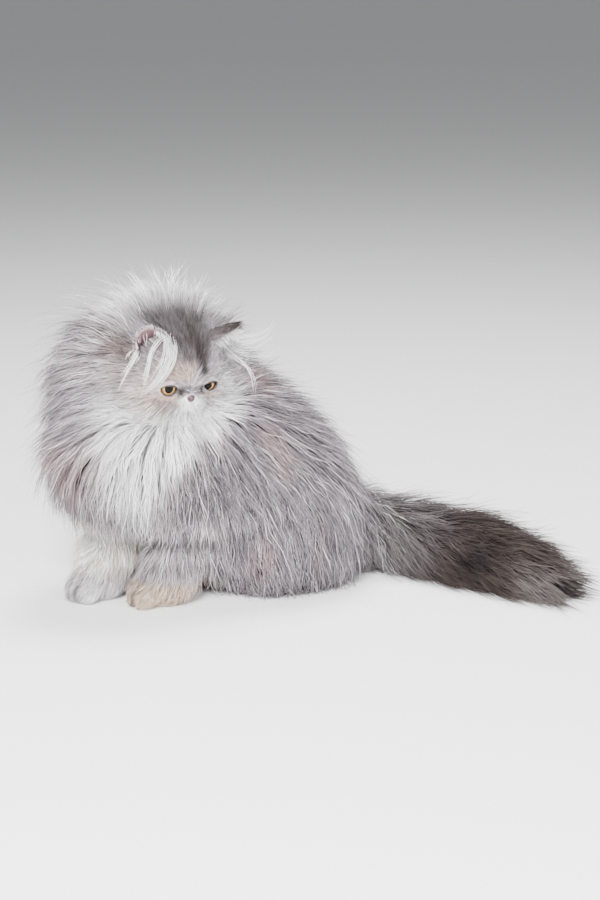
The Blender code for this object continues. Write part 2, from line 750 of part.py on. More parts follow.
def lock_object(line, ways, half_width, roll, grow, collection):
    """One flat lock: a ridged strip that tapers to a point."""
    bm = bmesh.new()
    rings = []
    for station, share in enumerate(LOCK_PROFILE):
        run = unit(line[station + 1] - line[max(station - 1, 0)])
        across = unit(np.cross(run, ways[station]))
        out = np.cross(across, run)
        across = math.cos(roll) * across + math.sin(roll) * out
        out = np.cross(across, run)
        half, thick = half_width * share + grow, half_width * share * LOCK_FLATNESS + grow
        left = line[station] - across * half - out * 0.35 * thick
        right = line[station] + across * half - out * 0.35 * thick
        ridge = line[station] + out * 0.65 * thick
        rings.append([bm.verts.new(Vector(place)) for place in (left, right, ridge)])
    tip = bm.verts.new(Vector(line[-1] + unit(line[-1] - line[-2]) * grow))
    bm.faces.new(rings[0])
    for lower, upper in zip(rings, rings[1:]):
        for index in range(3):
            after = (index + 1) % 3
            bm.faces.new((lower[index], lower[after], upper[after], upper[index]))
    for index in range(3):
        bm.faces.new((rings[-1][index], rings[-1][(index + 1) % 3], tip))
    bmesh.ops.triangulate(bm, faces=bm.faces)
    return object_from_bmesh("lock", bm, collection)


def over_face(line):
    """Whether a lock's line would cover the eyes, nose or mouth."""
    local = (line - HEAD_CENTRE) @ HEAD_AXES.T
    inside = (local[:, 0] > 0.020) & (np.abs(local[:, 1]) < 0.036) & (local[:, 2] > -0.034)
    return bool(inside.any())


def add_locks(name, surface, forms, blend, random, collection):
    """Locks over one surface, as objects of a collection."""
    roots, kinds = lock_roots(name, surface.data, forms, blend, random)
    lines, ways = lock_lines(forms, blend, roots, kinds, random)
    for line, out, kind in zip(lines, ways, kinds):
        half_width = LOCKS[kind][2] * random.uniform(0.85, 1.15)
        roll = random.uniform(-0.35, 0.35)
        if kind == "chin" or not over_face(line[1:]):
            lock_object(line, out, half_width, roll, 0.0, collection)


def ear_locks(side, random, grow, collection):
    """The long hairs that grow out of the ear and droop over its edge."""
    base, tip, mouth, across = ear_frame(side)
    reach = (0.050, 0.044, 0.038) if side < 0 else (0.046, 0.052, 0.040)
    droop = 1.0 if side < 0 else 0.45
    for place, length in zip((-0.6, 0.0, 0.6), reach):
        point = base + tip * 0.004 + across * (place * 0.010) + mouth * 0.001
        heading = unit(0.85 * mouth + 0.45 * tip + 0.35 * place * across + 0.30 * side * HEAD_LEFT)
        line, ways = [point], []
        for _ in LOCK_PROFILE:
            sideways = unit(np.cross(heading, UPWARD))
            ways.append(np.cross(sideways, heading))
            point = point + heading * length / len(LOCK_PROFILE)
            line.append(point)
            heading = unit(heading - droop * 0.75 * UPWARD)
        lock_object(np.array(line), np.array(ways), 0.0062, place * 0.5, grow, collection)


# Parting
WORLD_AXES = np.eye(3)
TAIL_ROOT = 0.268
TAIL_JOINTS = (0.128, 0.190)
FORELEG_TOP = 0.092
LEG_REAR = 0.092
BELLY = 0.150
FAR = 0.5
ORIGIN = np.zeros(3)
# Each node in the order of parting: its name, material, and the box it is parted off by.
NODES = (
    ("head", "coat", HEAD_AXES, HEAD_CENTRE, (-0.014, -0.066, -0.044), (FAR, 0.066, FAR)),
    ("neck", "coat", HEAD_AXES, HEAD_CENTRE, (-FAR, -FAR, -0.030), (-0.014, FAR, FAR)),
    ("tail_tip", "coat", WORLD_AXES, ORIGIN, (TAIL_JOINTS[1], -FAR, -0.1), (FAR, FAR, FAR)),
    ("tail_middle", "coat", WORLD_AXES, ORIGIN, (TAIL_JOINTS[0], -FAR, -0.1), (TAIL_JOINTS[1], FAR, FAR)),
    ("tail_base", "coat", BODY_AXES, BODY_ORIGIN, (TAIL_ROOT, -FAR, -0.1), (FAR, FAR, FAR)),
    ("foreleg_left", "coat_pale", BODY_AXES, BODY_ORIGIN, (-FAR, 0.0, -0.1), (LEG_REAR, FAR, FORELEG_TOP)),
    ("foreleg_right", "coat_pale", BODY_AXES, BODY_ORIGIN, (-FAR, -FAR, -0.1), (LEG_REAR, 0.0, FORELEG_TOP)),
    ("chest", "coat_pale", BODY_AXES, BODY_ORIGIN, (-FAR, -FAR, FORELEG_TOP), (0.046, FAR, FAR)),
    ("hindleg_left", "coat", BODY_AXES, BODY_ORIGIN, (0.130, 0.034, -0.1), (FAR, FAR, 0.120)),
    ("hindleg_right", "coat", BODY_AXES, BODY_ORIGIN, (0.130, -FAR, -0.1), (FAR, -0.034, 0.120)),
    ("torso_front", "coat", BODY_AXES, BODY_ORIGIN, (-FAR, -FAR, -0.1), (BELLY, FAR, FAR)),
    ("torso_rear", "coat", BODY_AXES, BODY_ORIGIN, (BELLY, -FAR, -0.1), (FAR, FAR, FAR)),
)


def part_off(whole, name, axes, centre, low, high, model, cutters):
    """The part of the whole inside a box becomes a node, and the box with a thin gap is cut from the whole.

    The tip of a lock that reaches over the cut would be left loose beyond it, so the cut goes round the tip.
    """
    gap = np.full(3, PART_GAP)
    box = box_object(name + "_box", axes, centre, low, high, cutters)
    wider = box_object(name + "_gap", axes, centre, np.array(low) - gap, np.array(high) + gap, cutters)
    for operation, limit, bend, inner, outer in (
        ("INTERSECT", box, "DIFFERENCE", 2 * PART_GAP, PART_GAP),
        ("DIFFERENCE", wider, "UNION", PART_GAP, 2 * PART_GAP),
    ):
        trial = object_from(name + "_trial", whole.data.copy(), cutters)
        boolean(trial, operation, limit)
        tips = loose_pieces(trial)
        bpy.data.objects.remove(trial, do_unlink=True)
        for points in tips:
            boolean(box, bend, hull_object("tip", points, inner, cutters))
            boolean(wider, bend, hull_object("tip_gap", points, outer, cutters))
    node = object_from(name, whole.data.copy(), model)
    boolean(node, "INTERSECT", box)
    keep_largest(node)
    boolean(whole, "DIFFERENCE", wider)
    return node


MATERIALS = {
    "coat": ((0.62, 0.60, 0.60), 0.9),
    "coat_pale": ((0.82, 0.80, 0.77), 0.9),
    "ear": ((0.62, 0.50, 0.48), 0.8),
    "eye": ((0.55, 0.36, 0.10), 0.1),
}


def material(name):
    found = bpy.data.materials.get(name)
    if found:
        return found
    colour, roughness = MATERIALS[name]
    made = bpy.data.materials.new(name)
    made.use_nodes = True
    shader = made.node_tree.nodes["Principled BSDF"]
    shader.inputs["Base Color"].default_value = (*colour, 1.0)
    shader.inputs["Roughness"].default_value = roughness
    shader.inputs["Metallic"].default_value = 0.0
    return made


def finish(obj, name, slot):
    obj.name = name
    obj.data.name = name
    obj.data.materials.clear()
    obj.data.materials.append(material(slot))
    obj.data.shade_smooth()
    obj.data.set_sharp_from_angle(angle=math.radians(50))


def centre_on_origin(model):
    """Moves every node so that the origin is under the middle of the model."""
    corners = np.concatenate([points_of(obj.data) for obj in model.objects])
    middle = (corners.min(axis=0) + corners.max(axis=0)) / 2
    shift = Matrix.Translation(Vector((-middle[0], -middle[1], 0.0)))
    for obj in model.objects:
        obj.data.transform(shift)


def main():
    clear_scene()
    model = new_collection("persian_cat")
    cutters = new_collection("cutters")
    pieces = new_collection("pieces")

    random = np.random.default_rng(LOCK_SEED)
    for name, forms, blend, voxel, triangles in SURFACES:
        surface = flesh_object(name, forms, CORE_SHARE, blend, voxel, triangles, pieces)
        add_locks(name, surface, forms, blend, random, pieces)
    body = pieces.objects["body"]
    pieces.objects.unlink(body)
    model.objects.link(body)
    boolean(body, "UNION", pieces)
    remove_objects(pieces)
    keep_largest(body)
    floor = box_object("floor", np.eye(3), np.zeros(3), (-1, -1, -0.2), (1, 1, 0), cutters)
    boolean(body, "DIFFERENCE", floor)
    face_cuts(body, cutters)

    for side, word in ((1, "left"), (-1, "right")):
        ear = ear_shell(side, model)
        ear_plug(side, pieces)
        boolean(ear, "UNION", pieces)
        remove_objects(pieces)
        keep_largest(ear)
        clearance = hull_object("ear_clearance", points_of(ear.data), PART_GAP, cutters)
        boolean(body, "DIFFERENCE", clearance)
        ear_locks(side, random, 2 * PART_GAP, pieces)
        boolean(body, "DIFFERENCE", pieces)
        remove_objects(pieces)
        ear_locks(side, random, 0.0, pieces)
        boolean(ear, "UNION", pieces)
        remove_objects(pieces)
        keep_largest(ear)
        finish(ear, f"ear_{word}", "ear")
        eye = sphere_object("eye", eye_centre(side), eye_axes(side), [EYE_RADIUS] * 3, model)
        finish(eye, f"eye_{word}", "eye")

    for name, slot, axes, centre, low, high in NODES:
        node = part_off(body, name, axes, centre, low, high, model, cutters)
        finish(node, name, slot)
    bpy.data.objects.remove(body, do_unlink=True)
    centre_on_origin(model)
    for cutter in cutters.objects:
        cutter.hide_render = True
        cutter.display_type = "WIRE"


main()
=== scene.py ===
"""The looks of a sitting Persian cat: skin, a long coat of mesh tufts, eyes, ears, nose leather and whiskers.

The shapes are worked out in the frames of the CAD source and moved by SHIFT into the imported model's frame.
A smooth union of the same flesh forms gives the skin and the height of the coat. Guides march over the skin
along the lie of the hair, and tufts follow their guides. Skin and tufts take their colour from markings().
"""

import itertools
import math

import bmesh
import bpy
import numpy as np
from mathutils import Matrix, Vector
from mathutils.kdtree import KDTree


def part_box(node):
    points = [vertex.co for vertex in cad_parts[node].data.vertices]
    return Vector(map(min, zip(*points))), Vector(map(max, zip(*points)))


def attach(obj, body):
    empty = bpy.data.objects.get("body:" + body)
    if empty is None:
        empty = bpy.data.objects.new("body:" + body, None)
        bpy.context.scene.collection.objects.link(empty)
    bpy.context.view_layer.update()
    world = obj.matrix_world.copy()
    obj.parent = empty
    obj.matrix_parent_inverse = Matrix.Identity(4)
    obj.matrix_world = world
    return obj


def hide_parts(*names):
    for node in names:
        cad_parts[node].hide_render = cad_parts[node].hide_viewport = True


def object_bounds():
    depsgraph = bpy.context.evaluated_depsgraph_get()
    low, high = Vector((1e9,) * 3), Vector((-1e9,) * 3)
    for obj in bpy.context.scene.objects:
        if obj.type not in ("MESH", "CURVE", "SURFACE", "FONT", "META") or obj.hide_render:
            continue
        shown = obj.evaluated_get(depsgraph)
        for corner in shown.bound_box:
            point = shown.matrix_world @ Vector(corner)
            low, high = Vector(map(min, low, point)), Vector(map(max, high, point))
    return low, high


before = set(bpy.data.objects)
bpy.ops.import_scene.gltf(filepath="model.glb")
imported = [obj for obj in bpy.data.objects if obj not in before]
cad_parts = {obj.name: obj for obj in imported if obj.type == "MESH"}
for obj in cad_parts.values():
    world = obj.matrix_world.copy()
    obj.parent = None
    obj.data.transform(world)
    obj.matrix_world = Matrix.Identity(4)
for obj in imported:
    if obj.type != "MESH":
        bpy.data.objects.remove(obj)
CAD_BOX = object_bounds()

RANDOM = np.random.default_rng(20)

# Frames
BODY_YAW = math.radians(32)
BODY_ORIGIN = np.array([-0.190, -0.095, 0.0])
HEAD_CENTRE = np.array([-0.130, -0.079, 0.247])
HEAD_YAW = math.radians(29)
HEAD_PITCH = math.radians(18)

# Driving sizes
EYE_RADIUS = 0.0108
EYE_SPACING = 0.047
EYE_FORWARD = 0.0262
LID_THICKNESS = 0.0018
SOCKET_GAP = 0.0002
EYE_GAP = 0.0001
PRISM_LENGTH = 0.030
# By side, with -1 for the cat's right: how far the eye is moved ahead, left and up from the solids' eye,
# and the opening's half width and its reach above and below the middle.
EYE_SETTLED = {-1: (0.0030, 0.0025, -0.0025), 1: (0.0030, 0.0, -0.0020)}
EYE_OPENING = {-1: (0.0086, 0.0050, 0.0072), 1: (0.0078, 0.0042, 0.0060)}
# How far each eye's opening is turned to the cat's left and up from straight ahead, and the lids' slope
EYE_LEFT = {-1: -0.15, 1: 0.10}
EYE_UP = 0.05
LID_SLOPE = math.radians(2)
# The hollow round each eye is a ball ahead of it, cut with a soft edge.
HOLLOW_RADIUS = 0.0140
HOLLOW_AHEAD = 0.0165
HOLLOW_BLEND = 0.006
LID_BLEND = 0.0015
EAR_HEIGHT = 0.032
EAR_SUNK = 0.010
EAR_HALF_WIDTH = 0.0165
EAR_THICKNESS = 0.0014
EAR_SWEEP = math.radians(100)
SKIN_SHARE = 0.36
SKIN_VOXEL = 0.0030
BODY_BLEND = 0.022
HEAD_BLEND = 0.007
LEG_BLEND = 0.005
JOIN_BLEND = 0.006
FLOOR_CLEARANCE = 0.0008
DENSITY = 1.0


def unit(vector):
    """The vector, or each row of an array of vectors, at length one."""
    length = np.linalg.norm(vector, axis=-1, keepdims=True)
    return vector / np.maximum(length, 1e-9)


BACKWARD = np.array([math.cos(BODY_YAW), math.sin(BODY_YAW), 0.0])
LEFTWARD = np.array([math.sin(BODY_YAW), -math.cos(BODY_YAW), 0.0])
UPWARD = np.array([0.0, 0.0, 1.0])
FACING = np.array([math.sin(HEAD_YAW) * math.cos(HEAD_PITCH), -math.cos(HEAD_YAW) * math.cos(HEAD_PITCH),
                   -math.sin(HEAD_PITCH)])
HEAD_LEFT = np.array([math.cos(HEAD_YAW), math.sin(HEAD_YAW), 0.0])
HEAD_UP = np.cross(FACING, HEAD_LEFT)
BODY_AXES = np.stack([BACKWARD, LEFTWARD, UPWARD])
HEAD_AXES = np.stack([FACING, HEAD_LEFT, HEAD_UP])


def body_point(back, left, up):
    """A point given in the body's frame."""
    return BODY_ORIGIN + back * BACKWARD + left * LEFTWARD + up * UPWARD


def head_point(forward, left, up):
    """A point given in the head's frame."""
    return HEAD_CENTRE + forward * FACING + left * HEAD_LEFT + up * HEAD_UP


def in_body(points):
    """How far points are back, to the cat's left and up in the body's frame."""
    return ((points - BODY_ORIGIN) @ BODY_AXES.T).T


def in_head(points):
    """How far points are ahead, to the cat's left and up in the head's frame."""
    return ((points - HEAD_CENTRE) @ HEAD_AXES.T).T


def eye_centre(side):
    """The middle of the scene's eye, which sits a little ahead of the solids' eye and lower."""
    ahead, left, up = EYE_SETTLED[side]
    return head_point(EYE_FORWARD + ahead, side * EYE_SPACING / 2 + left, up)


def box_middle(node):
    """The middle of a node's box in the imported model."""
    low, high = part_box(node)
    return (np.array(low) + np.array(high)) / 2


SHIFT = (box_middle("eye_left") - head_point(EYE_FORWARD, EYE_SPACING / 2, 0.0)) * [1, 1, 0]


# Forms of flesh. Each has a region, its skin size, and the depth of the coat over it.
def limb(region, start, end, start_radius, end_radius, coat):
    """A tapered limb with round ends."""
    start, end, radii = np.array(start), np.array(end), (start_radius, end_radius)
    return {"region": region, "start": start, "end": end, "radii": radii, "coat": coat}


def egg(region, centre, radii, axes, coat):
    """An ellipsoid with its radii along the rows of axes. Its coat is one depth, or one along each axis."""
    centre, radii, coat = np.array(centre), np.array(radii), np.array(coat)
    return {"region": region, "centre": centre, "radii": radii, "axes": axes, "coat": coat}


# The tail's line on the floor: position, flesh radius and coat depth at each joint of the line.
TAIL_LINE = (
    (body_point(0.236, 0.006, 0.060), 0.017, 0.034),
    (np.array([0.080, 0.038, 0.040]), 0.013, 0.042),
    (np.array([0.132, 0.024, 0.031]), 0.011, 0.043),
    (np.array([0.188, -0.012, 0.026]), 0.009, 0.043),
    (np.array([0.244, -0.062, 0.021]), 0.006, 0.036),
)


def paw_ways(wrist, toes):
    """The directions ahead of and across a paw."""
    aim = unit(toes - wrist * [1, 1, 0] - [0, 0, toes[2]])
    return aim, np.cross(UPWARD, aim)


def foreleg_forms(side, elbow, wrist, toes):
    """Upper arm, forearm, wrist and paw with four toes; toes is the middle of the paw's front edge."""
    region = "foreleg"
    elbow, wrist, toes = body_point(*elbow), body_point(*wrist), body_point(*toes)
    shoulder = elbow + 0.3 * (body_point(0.062, 0.036 * side, 0.150) - elbow)
    aim, across = paw_ways(wrist, toes)
    heel = wrist * [1, 1, 0] + [0, 0, 0.016] + aim * 0.004
    forms = [
        limb(region, shoulder, elbow, 0.026, 0.023, 0.034),
        limb(region, elbow, wrist, 0.023, 0.0140, 0.026),
        limb("paw", wrist, heel, 0.0140, 0.0140, 0.012),
        limb("paw", heel, toes - aim * 0.012, 0.0145, 0.0110, 0.008),
    ]
    for place in TOE_PLACES:
        spread = across * place * 0.0098
        back = aim * (0.0040 * abs(place))
        knuckle = toes + spread - back - aim * 0.015 + UPWARD * 0.004
        tip = toes + spread * 1.15 - back - aim * 0.004 - UPWARD * 0.0035
        forms.append(limb("paw", knuckle, tip, 0.0070, 0.0074, 0.003))
    return forms


def thigh_forms(side):
    """Thigh and shank, folded against the flank."""
    knee, hock = body_point(0.150, 0.052 * side, 0.058), body_point(0.212, 0.048 * side, 0.030)
    thigh = body_point(0.184, 0.044 * side, 0.072)
    return [
        egg("haunch", thigh, (0.056, 0.034, 0.060), BODY_AXES, 0.040),
        limb("haunch", knee, hock, 0.024, 0.020, 0.026),
    ]


def foot_forms(side):
    """The long hind foot that lies flat under the haunch, with four toes."""
    heel, toes = body_point(0.212, 0.046 * side, 0.0145), body_point(0.136, 0.050 * side, 0.012)
    forms = [limb("foot", heel, toes + BACKWARD * 0.010, 0.013, 0.011, 0.010)]
    for place in TOE_PLACES:
        spread = LEFTWARD * place * 0.0090 + BACKWARD * (0.003 * abs(place))
        forms.append(limb("foot", toes + spread + BACKWARD * 0.010, toes + spread, 0.0068, 0.0072, 0.003))
    return forms


def tail_forms():
    """The tail as a chain of tapered lengths."""
    chain = []
    for (start, thick, coat), (end, thin, _) in zip(TAIL_LINE, TAIL_LINE[1:]):
        chain.append(limb("tail", start, end, thick, thin, coat))
    return chain


BODY_FORMS = [
    egg("ruff", body_point(0.030, 0.0, 0.150), (0.045, 0.040, 0.044), BODY_AXES, (0.078, 0.060, 0.045)),
    egg("shoulder", body_point(0.082, 0.0, 0.142), (0.060, 0.050, 0.054), BODY_AXES, 0.048),
    limb("back", body_point(0.110, 0.0, 0.172), body_point(0.172, 0.0, 0.124), 0.046, 0.050, 0.050),
    egg("flank", body_point(0.132, 0.0, 0.096), (0.076, 0.058, 0.066), BODY_AXES, 0.044),
    egg("rump", body_point(0.194, 0.0, 0.084), (0.052, 0.056, 0.058), BODY_AXES, 0.038),
    limb("neck", body_point(0.095, 0.0, 0.180), head_point(-0.030, 0.0, -0.020), 0.042, 0.034, 0.020),
    egg("mane", head_point(-0.038, -0.010, -0.015), (0.022, 0.042, 0.040), HEAD_AXES, (0.016, 0.092, 0.060)),
    egg("mane", (-0.192, -0.060, 0.192), (0.028, 0.028, 0.040), np.eye(3), 0.050),
    *thigh_forms(1),
    *thigh_forms(-1),
    *tail_forms(),
]

# Each foreleg: its side, elbow, wrist and the middle of the paw's front edge, in the body's frame.
FORELEGS = (
    (1, (0.080, 0.042, 0.100), (0.046, 0.030, 0.040), (0.006, 0.019, 0.012)),
    (-1, (0.060, -0.040, 0.100), (-0.002, -0.026, 0.038), (-0.041, -0.026, 0.012)),
)
TOE_PLACES = (-1.5, -0.5, 0.5, 1.5)

HEAD_FORMS = [
    egg("skull", head_point(-0.004, 0.0, 0.004), (0.042, 0.044, 0.040), HEAD_AXES, 0.012),
    egg("skull", head_point(0.012, 0.0, 0.014), (0.027, 0.032, 0.026), HEAD_AXES, 0.008),
    egg("face", head_point(0.018, 0.0, -0.014), (0.022, 0.034, 0.021), HEAD_AXES, 0.006),
    egg("nose", head_point(0.0345, 0.0, -0.0045), (0.0060, 0.0075, 0.0100), HEAD_AXES, 0.002),
    egg("nose", head_point(0.0400, 0.0, -0.0100), (0.0040, 0.0066, 0.0046), HEAD_AXES, 0.0),
    egg("chin", head_point(0.0290, 0.0, -0.0300), (0.0100, 0.0120, 0.0080), HEAD_AXES, 0.006),
]
for side in (-1, 1):
    lid_radii = [EYE_RADIUS + LID_THICKNESS] * 3
    HEAD_FORMS += [
        egg("cheek", head_point(0.008, 0.026 * side, -0.016), (0.026, 0.022, 0.023), HEAD_AXES, 0.016),
        egg("face", head_point(0.0250, 0.0190 * side, 0.0115), (0.0095, 0.0130, 0.0062), HEAD_AXES, 0.004),
        egg("muzzle", head_point(0.0320, 0.0085 * side, -0.0195), (0.0100, 0.0105, 0.0082), HEAD_AXES, 0.003),
        egg("lid", eye_centre(side), lid_radii, HEAD_AXES, 0.0),
    ]

SURFACES = (
    (BODY_FORMS, BODY_BLEND),
    (HEAD_FORMS, HEAD_BLEND),
    *((foreleg_forms(*leg), LEG_BLEND) for leg in FORELEGS),
    *((foot_forms(side), LEG_BLEND) for side in (1, -1)),
)
FORMS = [form for forms, _ in SURFACES for form in forms]


def blended(first, second, share):
    """The first where share is zero, the second where it is one, and a mixture between."""
    return first * (1 - share) + second * share


def smooth_union(first, second, blend):
    """Two distances joined with a fillet about as wide as blend."""
    share = np.clip(0.5 + 0.5 * (second - first) / blend, 0, 1)
    return second * (1 - share) + first * share - blend * share * (1 - share)


def form_distance(form, points, share):
    """How far each point is outside a form that is grown by a share of its coat."""
    grow = form["coat"] * share
    if "start" in form:
        line = form["end"] - form["start"]
        along = np.clip((points - form["start"]) @ line / max(line @ line, 1e-9), 0, 1)
        radius = form["radii"][0] + along * (form["radii"][1] - form["radii"][0]) + grow
        return np.linalg.norm(points - form["start"] - along[:, None] * line, axis=1) - radius
    local = (points - form["centre"]) @ form["axes"].T
    radii = form["radii"] + grow
    scaled = np.linalg.norm(local / radii, axis=1)
    steepness = np.linalg.norm(local / radii**2, axis=1)
    return scaled * (scaled - 1) / np.maximum(steepness, 1e-9)


def eye_axes(side):
    """Out of the eye, along the lids to the cat's left, and up."""
    outward = unit(FACING + EYE_LEFT[side] * HEAD_LEFT + EYE_UP * HEAD_UP)
    along = unit(np.cross(HEAD_UP, outward))
    tilt = LID_SLOPE * side
    turned = math.cos(tilt) * along + math.sin(tilt) * np.cross(outward, along)
    return np.stack([outward, turned, np.cross(outward, turned)])


def hollowed(total, points):
    """The distance with a shallow hollow round each eye, which the lids fill again."""
    for side in (-1, 1):
        offset = points - eye_centre(side)
        hollow = HOLLOW_RADIUS - np.linalg.norm(offset - eye_axes(side)[0] * HOLLOW_AHEAD, axis=1)
        total = -smooth_union(-total, -hollow, HOLLOW_BLEND)
        lids = np.linalg.norm(offset, axis=1) - EYE_RADIUS - LID_THICKNESS
        total = smooth_union(total, lids, LID_BLEND)
    return total


def distance(points, share=SKIN_SHARE):
    """How far each point is outside the whole animal at a share of its coat."""
    total = None
    for forms, blend in SURFACES:
        near = form_distance(forms[0], points, share)
        for form in forms[1:]:
            near = smooth_union(near, form_distance(form, points, share), blend)
        total = near if total is None else smooth_union(total, near, JOIN_BLEND)
    return hollowed(total, points)


def slope(points):
    """The outward direction at each point, from four distances at the corners of a small tetrahedron."""
    corners = np.array([[1, -1, -1], [-1, -1, 1], [-1, 1, -1], [1, 1, 1]])
    return unit(sum(distance(points + corner * 0.0008)[:, None] * corner for corner in corners))


# Markings
def srgb(red, green, blue):
    """A linear colour from its usual 0 to 255 values."""
    return (np.array([red, green, blue]) / 255) ** 2.2


def noise(points, size, seed):
    """Smooth noise from -1 to 1 with features about as wide as size, as a sum of waves."""
    waves = np.random.default_rng(seed)
    total = np.zeros(len(points))
    for _ in range(7):
        direction = unit(waves.normal(size=3))
        turn = points @ direction * (2 * math.pi / (size * waves.uniform(1.2, 2.6)))
        start = waves.uniform(0, 6.28)
        bend = 1.7 * np.sin(points @ unit(waves.normal(size=3)) / size)
        total += np.sin(turn + start + bend)
    return total / 4.2


def bump(value, middle, width):
    """One at the middle and falling smoothly to nothing around width away."""
    return np.exp(-(((value - middle) / width) ** 2))


def flat(value, half, soft):
    """One within half of zero and nothing beyond it, with an edge of about soft to each side."""
    return 1 - rise(np.abs(value), half - soft, half + soft)


def rise(value, start, end):
    """Zero before start and one after end, with a smooth step between them."""
    share = np.clip((value - start) / (end - start), 0, 1)
    return share * share * (3 - 2 * share)


SILVER = srgb(119, 112, 117)
PALE = srgb(178, 170, 175)
WHITE = srgb(248, 247, 247)
IVORY = srgb(254, 245, 226)
SLATE = srgb(54, 48, 48)
TAUPE = srgb(58, 50, 47)
CREAM = srgb(172, 150, 138)
SAND = srgb(214, 188, 160)
BLUSH = srgb(206, 180, 164)
PINK = srgb(156, 128, 131)
TAN = srgb(98, 78, 64)
TEAR = srgb(214, 184, 160)
SMOKE = srgb(90, 84, 85)
TAIL_STREAK = srgb(104, 96, 92)
TAIL_CLUMP = srgb(104, 98, 96)
LID_EDGE = srgb(52, 42, 42)
LID_RIM = srgb(44, 34, 35)
# Painted shade for the cups of the ears on the skin
CUP_SHADE = srgb(74, 48, 52)
# Painted shade deep in each ear's cup, near its root
CUP_DEEP_SHADE = srgb(52, 32, 38)
CUP_PINK = srgb(126, 90, 94)
NOSE_DARK = srgb(76, 54, 60)
GOLD = srgb(172, 134, 84)
COPPER = srgb(104, 74, 44)
PUPIL = srgb(5, 5, 6)
EYE_EDGE = srgb(38, 28, 24)


def camera_side(points):
    """One on the chest's side toward the camera and nothing behind it."""
    return rise(-points[:, 1], 0.06, 0.10)


def head_share(points, start=-0.085, end=-0.060):
    """One on the head and nothing beyond it."""
    return rise(-np.linalg.norm(points - HEAD_CENTRE, axis=1), start, end)


def paint_body(paint, points):
    """Warm patches, pale streaks and faint tabby shading on silver."""
    back, aside, height = in_body(points)
    body = rise(np.linalg.norm(points - HEAD_CENTRE, axis=1), 0.05, 0.09)
    paint(PINK, body * 0.55 * rise(noise(points, 0.045, 1), 0.1, 0.9) * rise(-back, -0.200, -0.160))
    paint(SLATE, body * 0.35 * rise(-noise(points, 0.030, 3), 0.2, 1.0))
    paint(PALE, body * 0.55 * rise(noise(points, 0.014, 2), 0.1, 0.9))
    paint(SLATE, 0.35 * bump(aside, 0, 0.030) * rise(height, 0.10, 0.15) * rise(back, 0.10, 0.15))
    shadow = flat(points[:, 0] + 0.092, 0.032, 0.012) * flat(height - 0.138, 0.026, 0.014)
    paint(SLATE, 0.38 * shadow * camera_side(points))


def paint_mane(paint, points):
    """The mane, pale round the face with grey and pink streaks further out, and the white halo behind."""
    back = in_body(points)[0]
    ahead, _, up = in_head(points)
    from_head = np.linalg.norm(points - HEAD_CENTRE, axis=1)
    mane = bump(from_head, 0.075, 0.040) * rise(-back, -0.13, -0.04)
    paint(PALE, 0.75 * mane)
    paint(SILVER, 0.65 * mane * rise(noise(points, 0.022, 5), -0.2, 0.8))
    paint(PINK, 0.40 * mane * rise(noise(points, 0.040, 7), 0.0, 0.8))
    halo = rise(-ahead, 0.022, 0.034) * rise(up, 0.030, 0.046)
    paint(WHITE, 0.88 * halo * head_share(points, -0.100, -0.080))


def paint_bib(paint, points):
    """The white bib from the chin down to the forelegs, narrower below."""
    height, up = in_body(points)[2], in_head(points)[2]
    across, front = points[:, 0], camera_side(points)
    edge = -0.076 - 1.15 * (0.20 - height)
    bib = rise(across, -0.215, -0.180) * rise(edge - across, -0.012, 0.016) * front
    strength = 0.70 + 0.25 * rise(height, 0.140, 0.175)
    paint(WHITE, strength * bib * rise(height, 0.110, 0.140) * rise(-up, 0.010, 0.028))
    lower = rise(-points[:, 1], 0.08, 0.11) * rise(height, 0.05, 0.08)
    paint(WHITE, 0.55 * bump(across, -0.158, 0.018) * lower)
    paint(PINK, 0.20 * bump(across, -0.205, 0.022) * bump(height, 0.150, 0.030) * front)


def paint_forelegs(paint, points):
    """The near foreleg with faint bars, the far one in cream, and painted shade in the gaps between the toes.
    """
    back, aside, height = in_body(points)
    leg = rise(-height, -0.112, -0.092) * rise(-back, -0.10, -0.07)
    near, far = leg * rise(aside, 0.002, 0.012), leg * rise(-aside, -0.012, -0.002)
    paint(PALE, 0.95 * leg)
    paint(SILVER, 0.15 * leg * rise(points[:, 0], -0.125, -0.100) * rise(height, 0.03, 0.06))
    slant = height - 0.25 * (aside - 0.03) + 0.10 * back
    bars = bump(slant, 0.114, 0.012) + 0.9 * bump(slant, 0.074, 0.007) + 0.7 * bump(slant, 0.048, 0.005)
    paint(SLATE * 0.8, near * 0.85 * bars)
    paint(SAND, near * 0.75 * rise(-height, -0.036, -0.022))
    paint(IVORY, far * 0.98 * rise(height, 0.026, 0.040))
    paint(WHITE, far * 0.35 * rise(-height, -0.040, -0.026))
    paint(SLATE, far * 0.25 * bump(height, 0.100, 0.008))
    for _, _, wrist, toes in FORELEGS:
        wrist, toes = body_point(*wrist), body_point(*toes)
        aim, across = paw_ways(wrist, toes)
        reach, spread = (points - toes) @ aim, (points - toes) @ across
        # Painted shade in the gaps between the toes.
        gap = sum(bump(spread, place * 0.0102, 0.0024) for place in (-1, 0, 1))
        paint(SLATE * 0.8, 0.85 * gap * bump(reach, -0.002, 0.017) * rise(-height, -0.042, -0.032))


def paint_tail(paint, points):
    """The dark tail with a few lighter streaks and a paler clump near its end."""
    across, height = points[:, 0], in_body(points)[2]
    dim = rise(across + 0.5 * (0.04 - height), 0.105, 0.165)
    paint(SMOKE, 0.92 * rise(across, 0.050, 0.090))
    paint(TAUPE, 0.95 * dim)
    paint(SLATE * 0.4, dim * 0.75 * rise(noise(points, 0.035, 4), 0.0, 0.8))
    paint(TAIL_STREAK, 0.25 * dim * rise(noise(points, 0.018, 6), 0.2, 1.0))
    paint(TAIL_CLUMP, 0.65 * rise(across, 0.205, 0.235) * rise(-height, -0.050, -0.025))


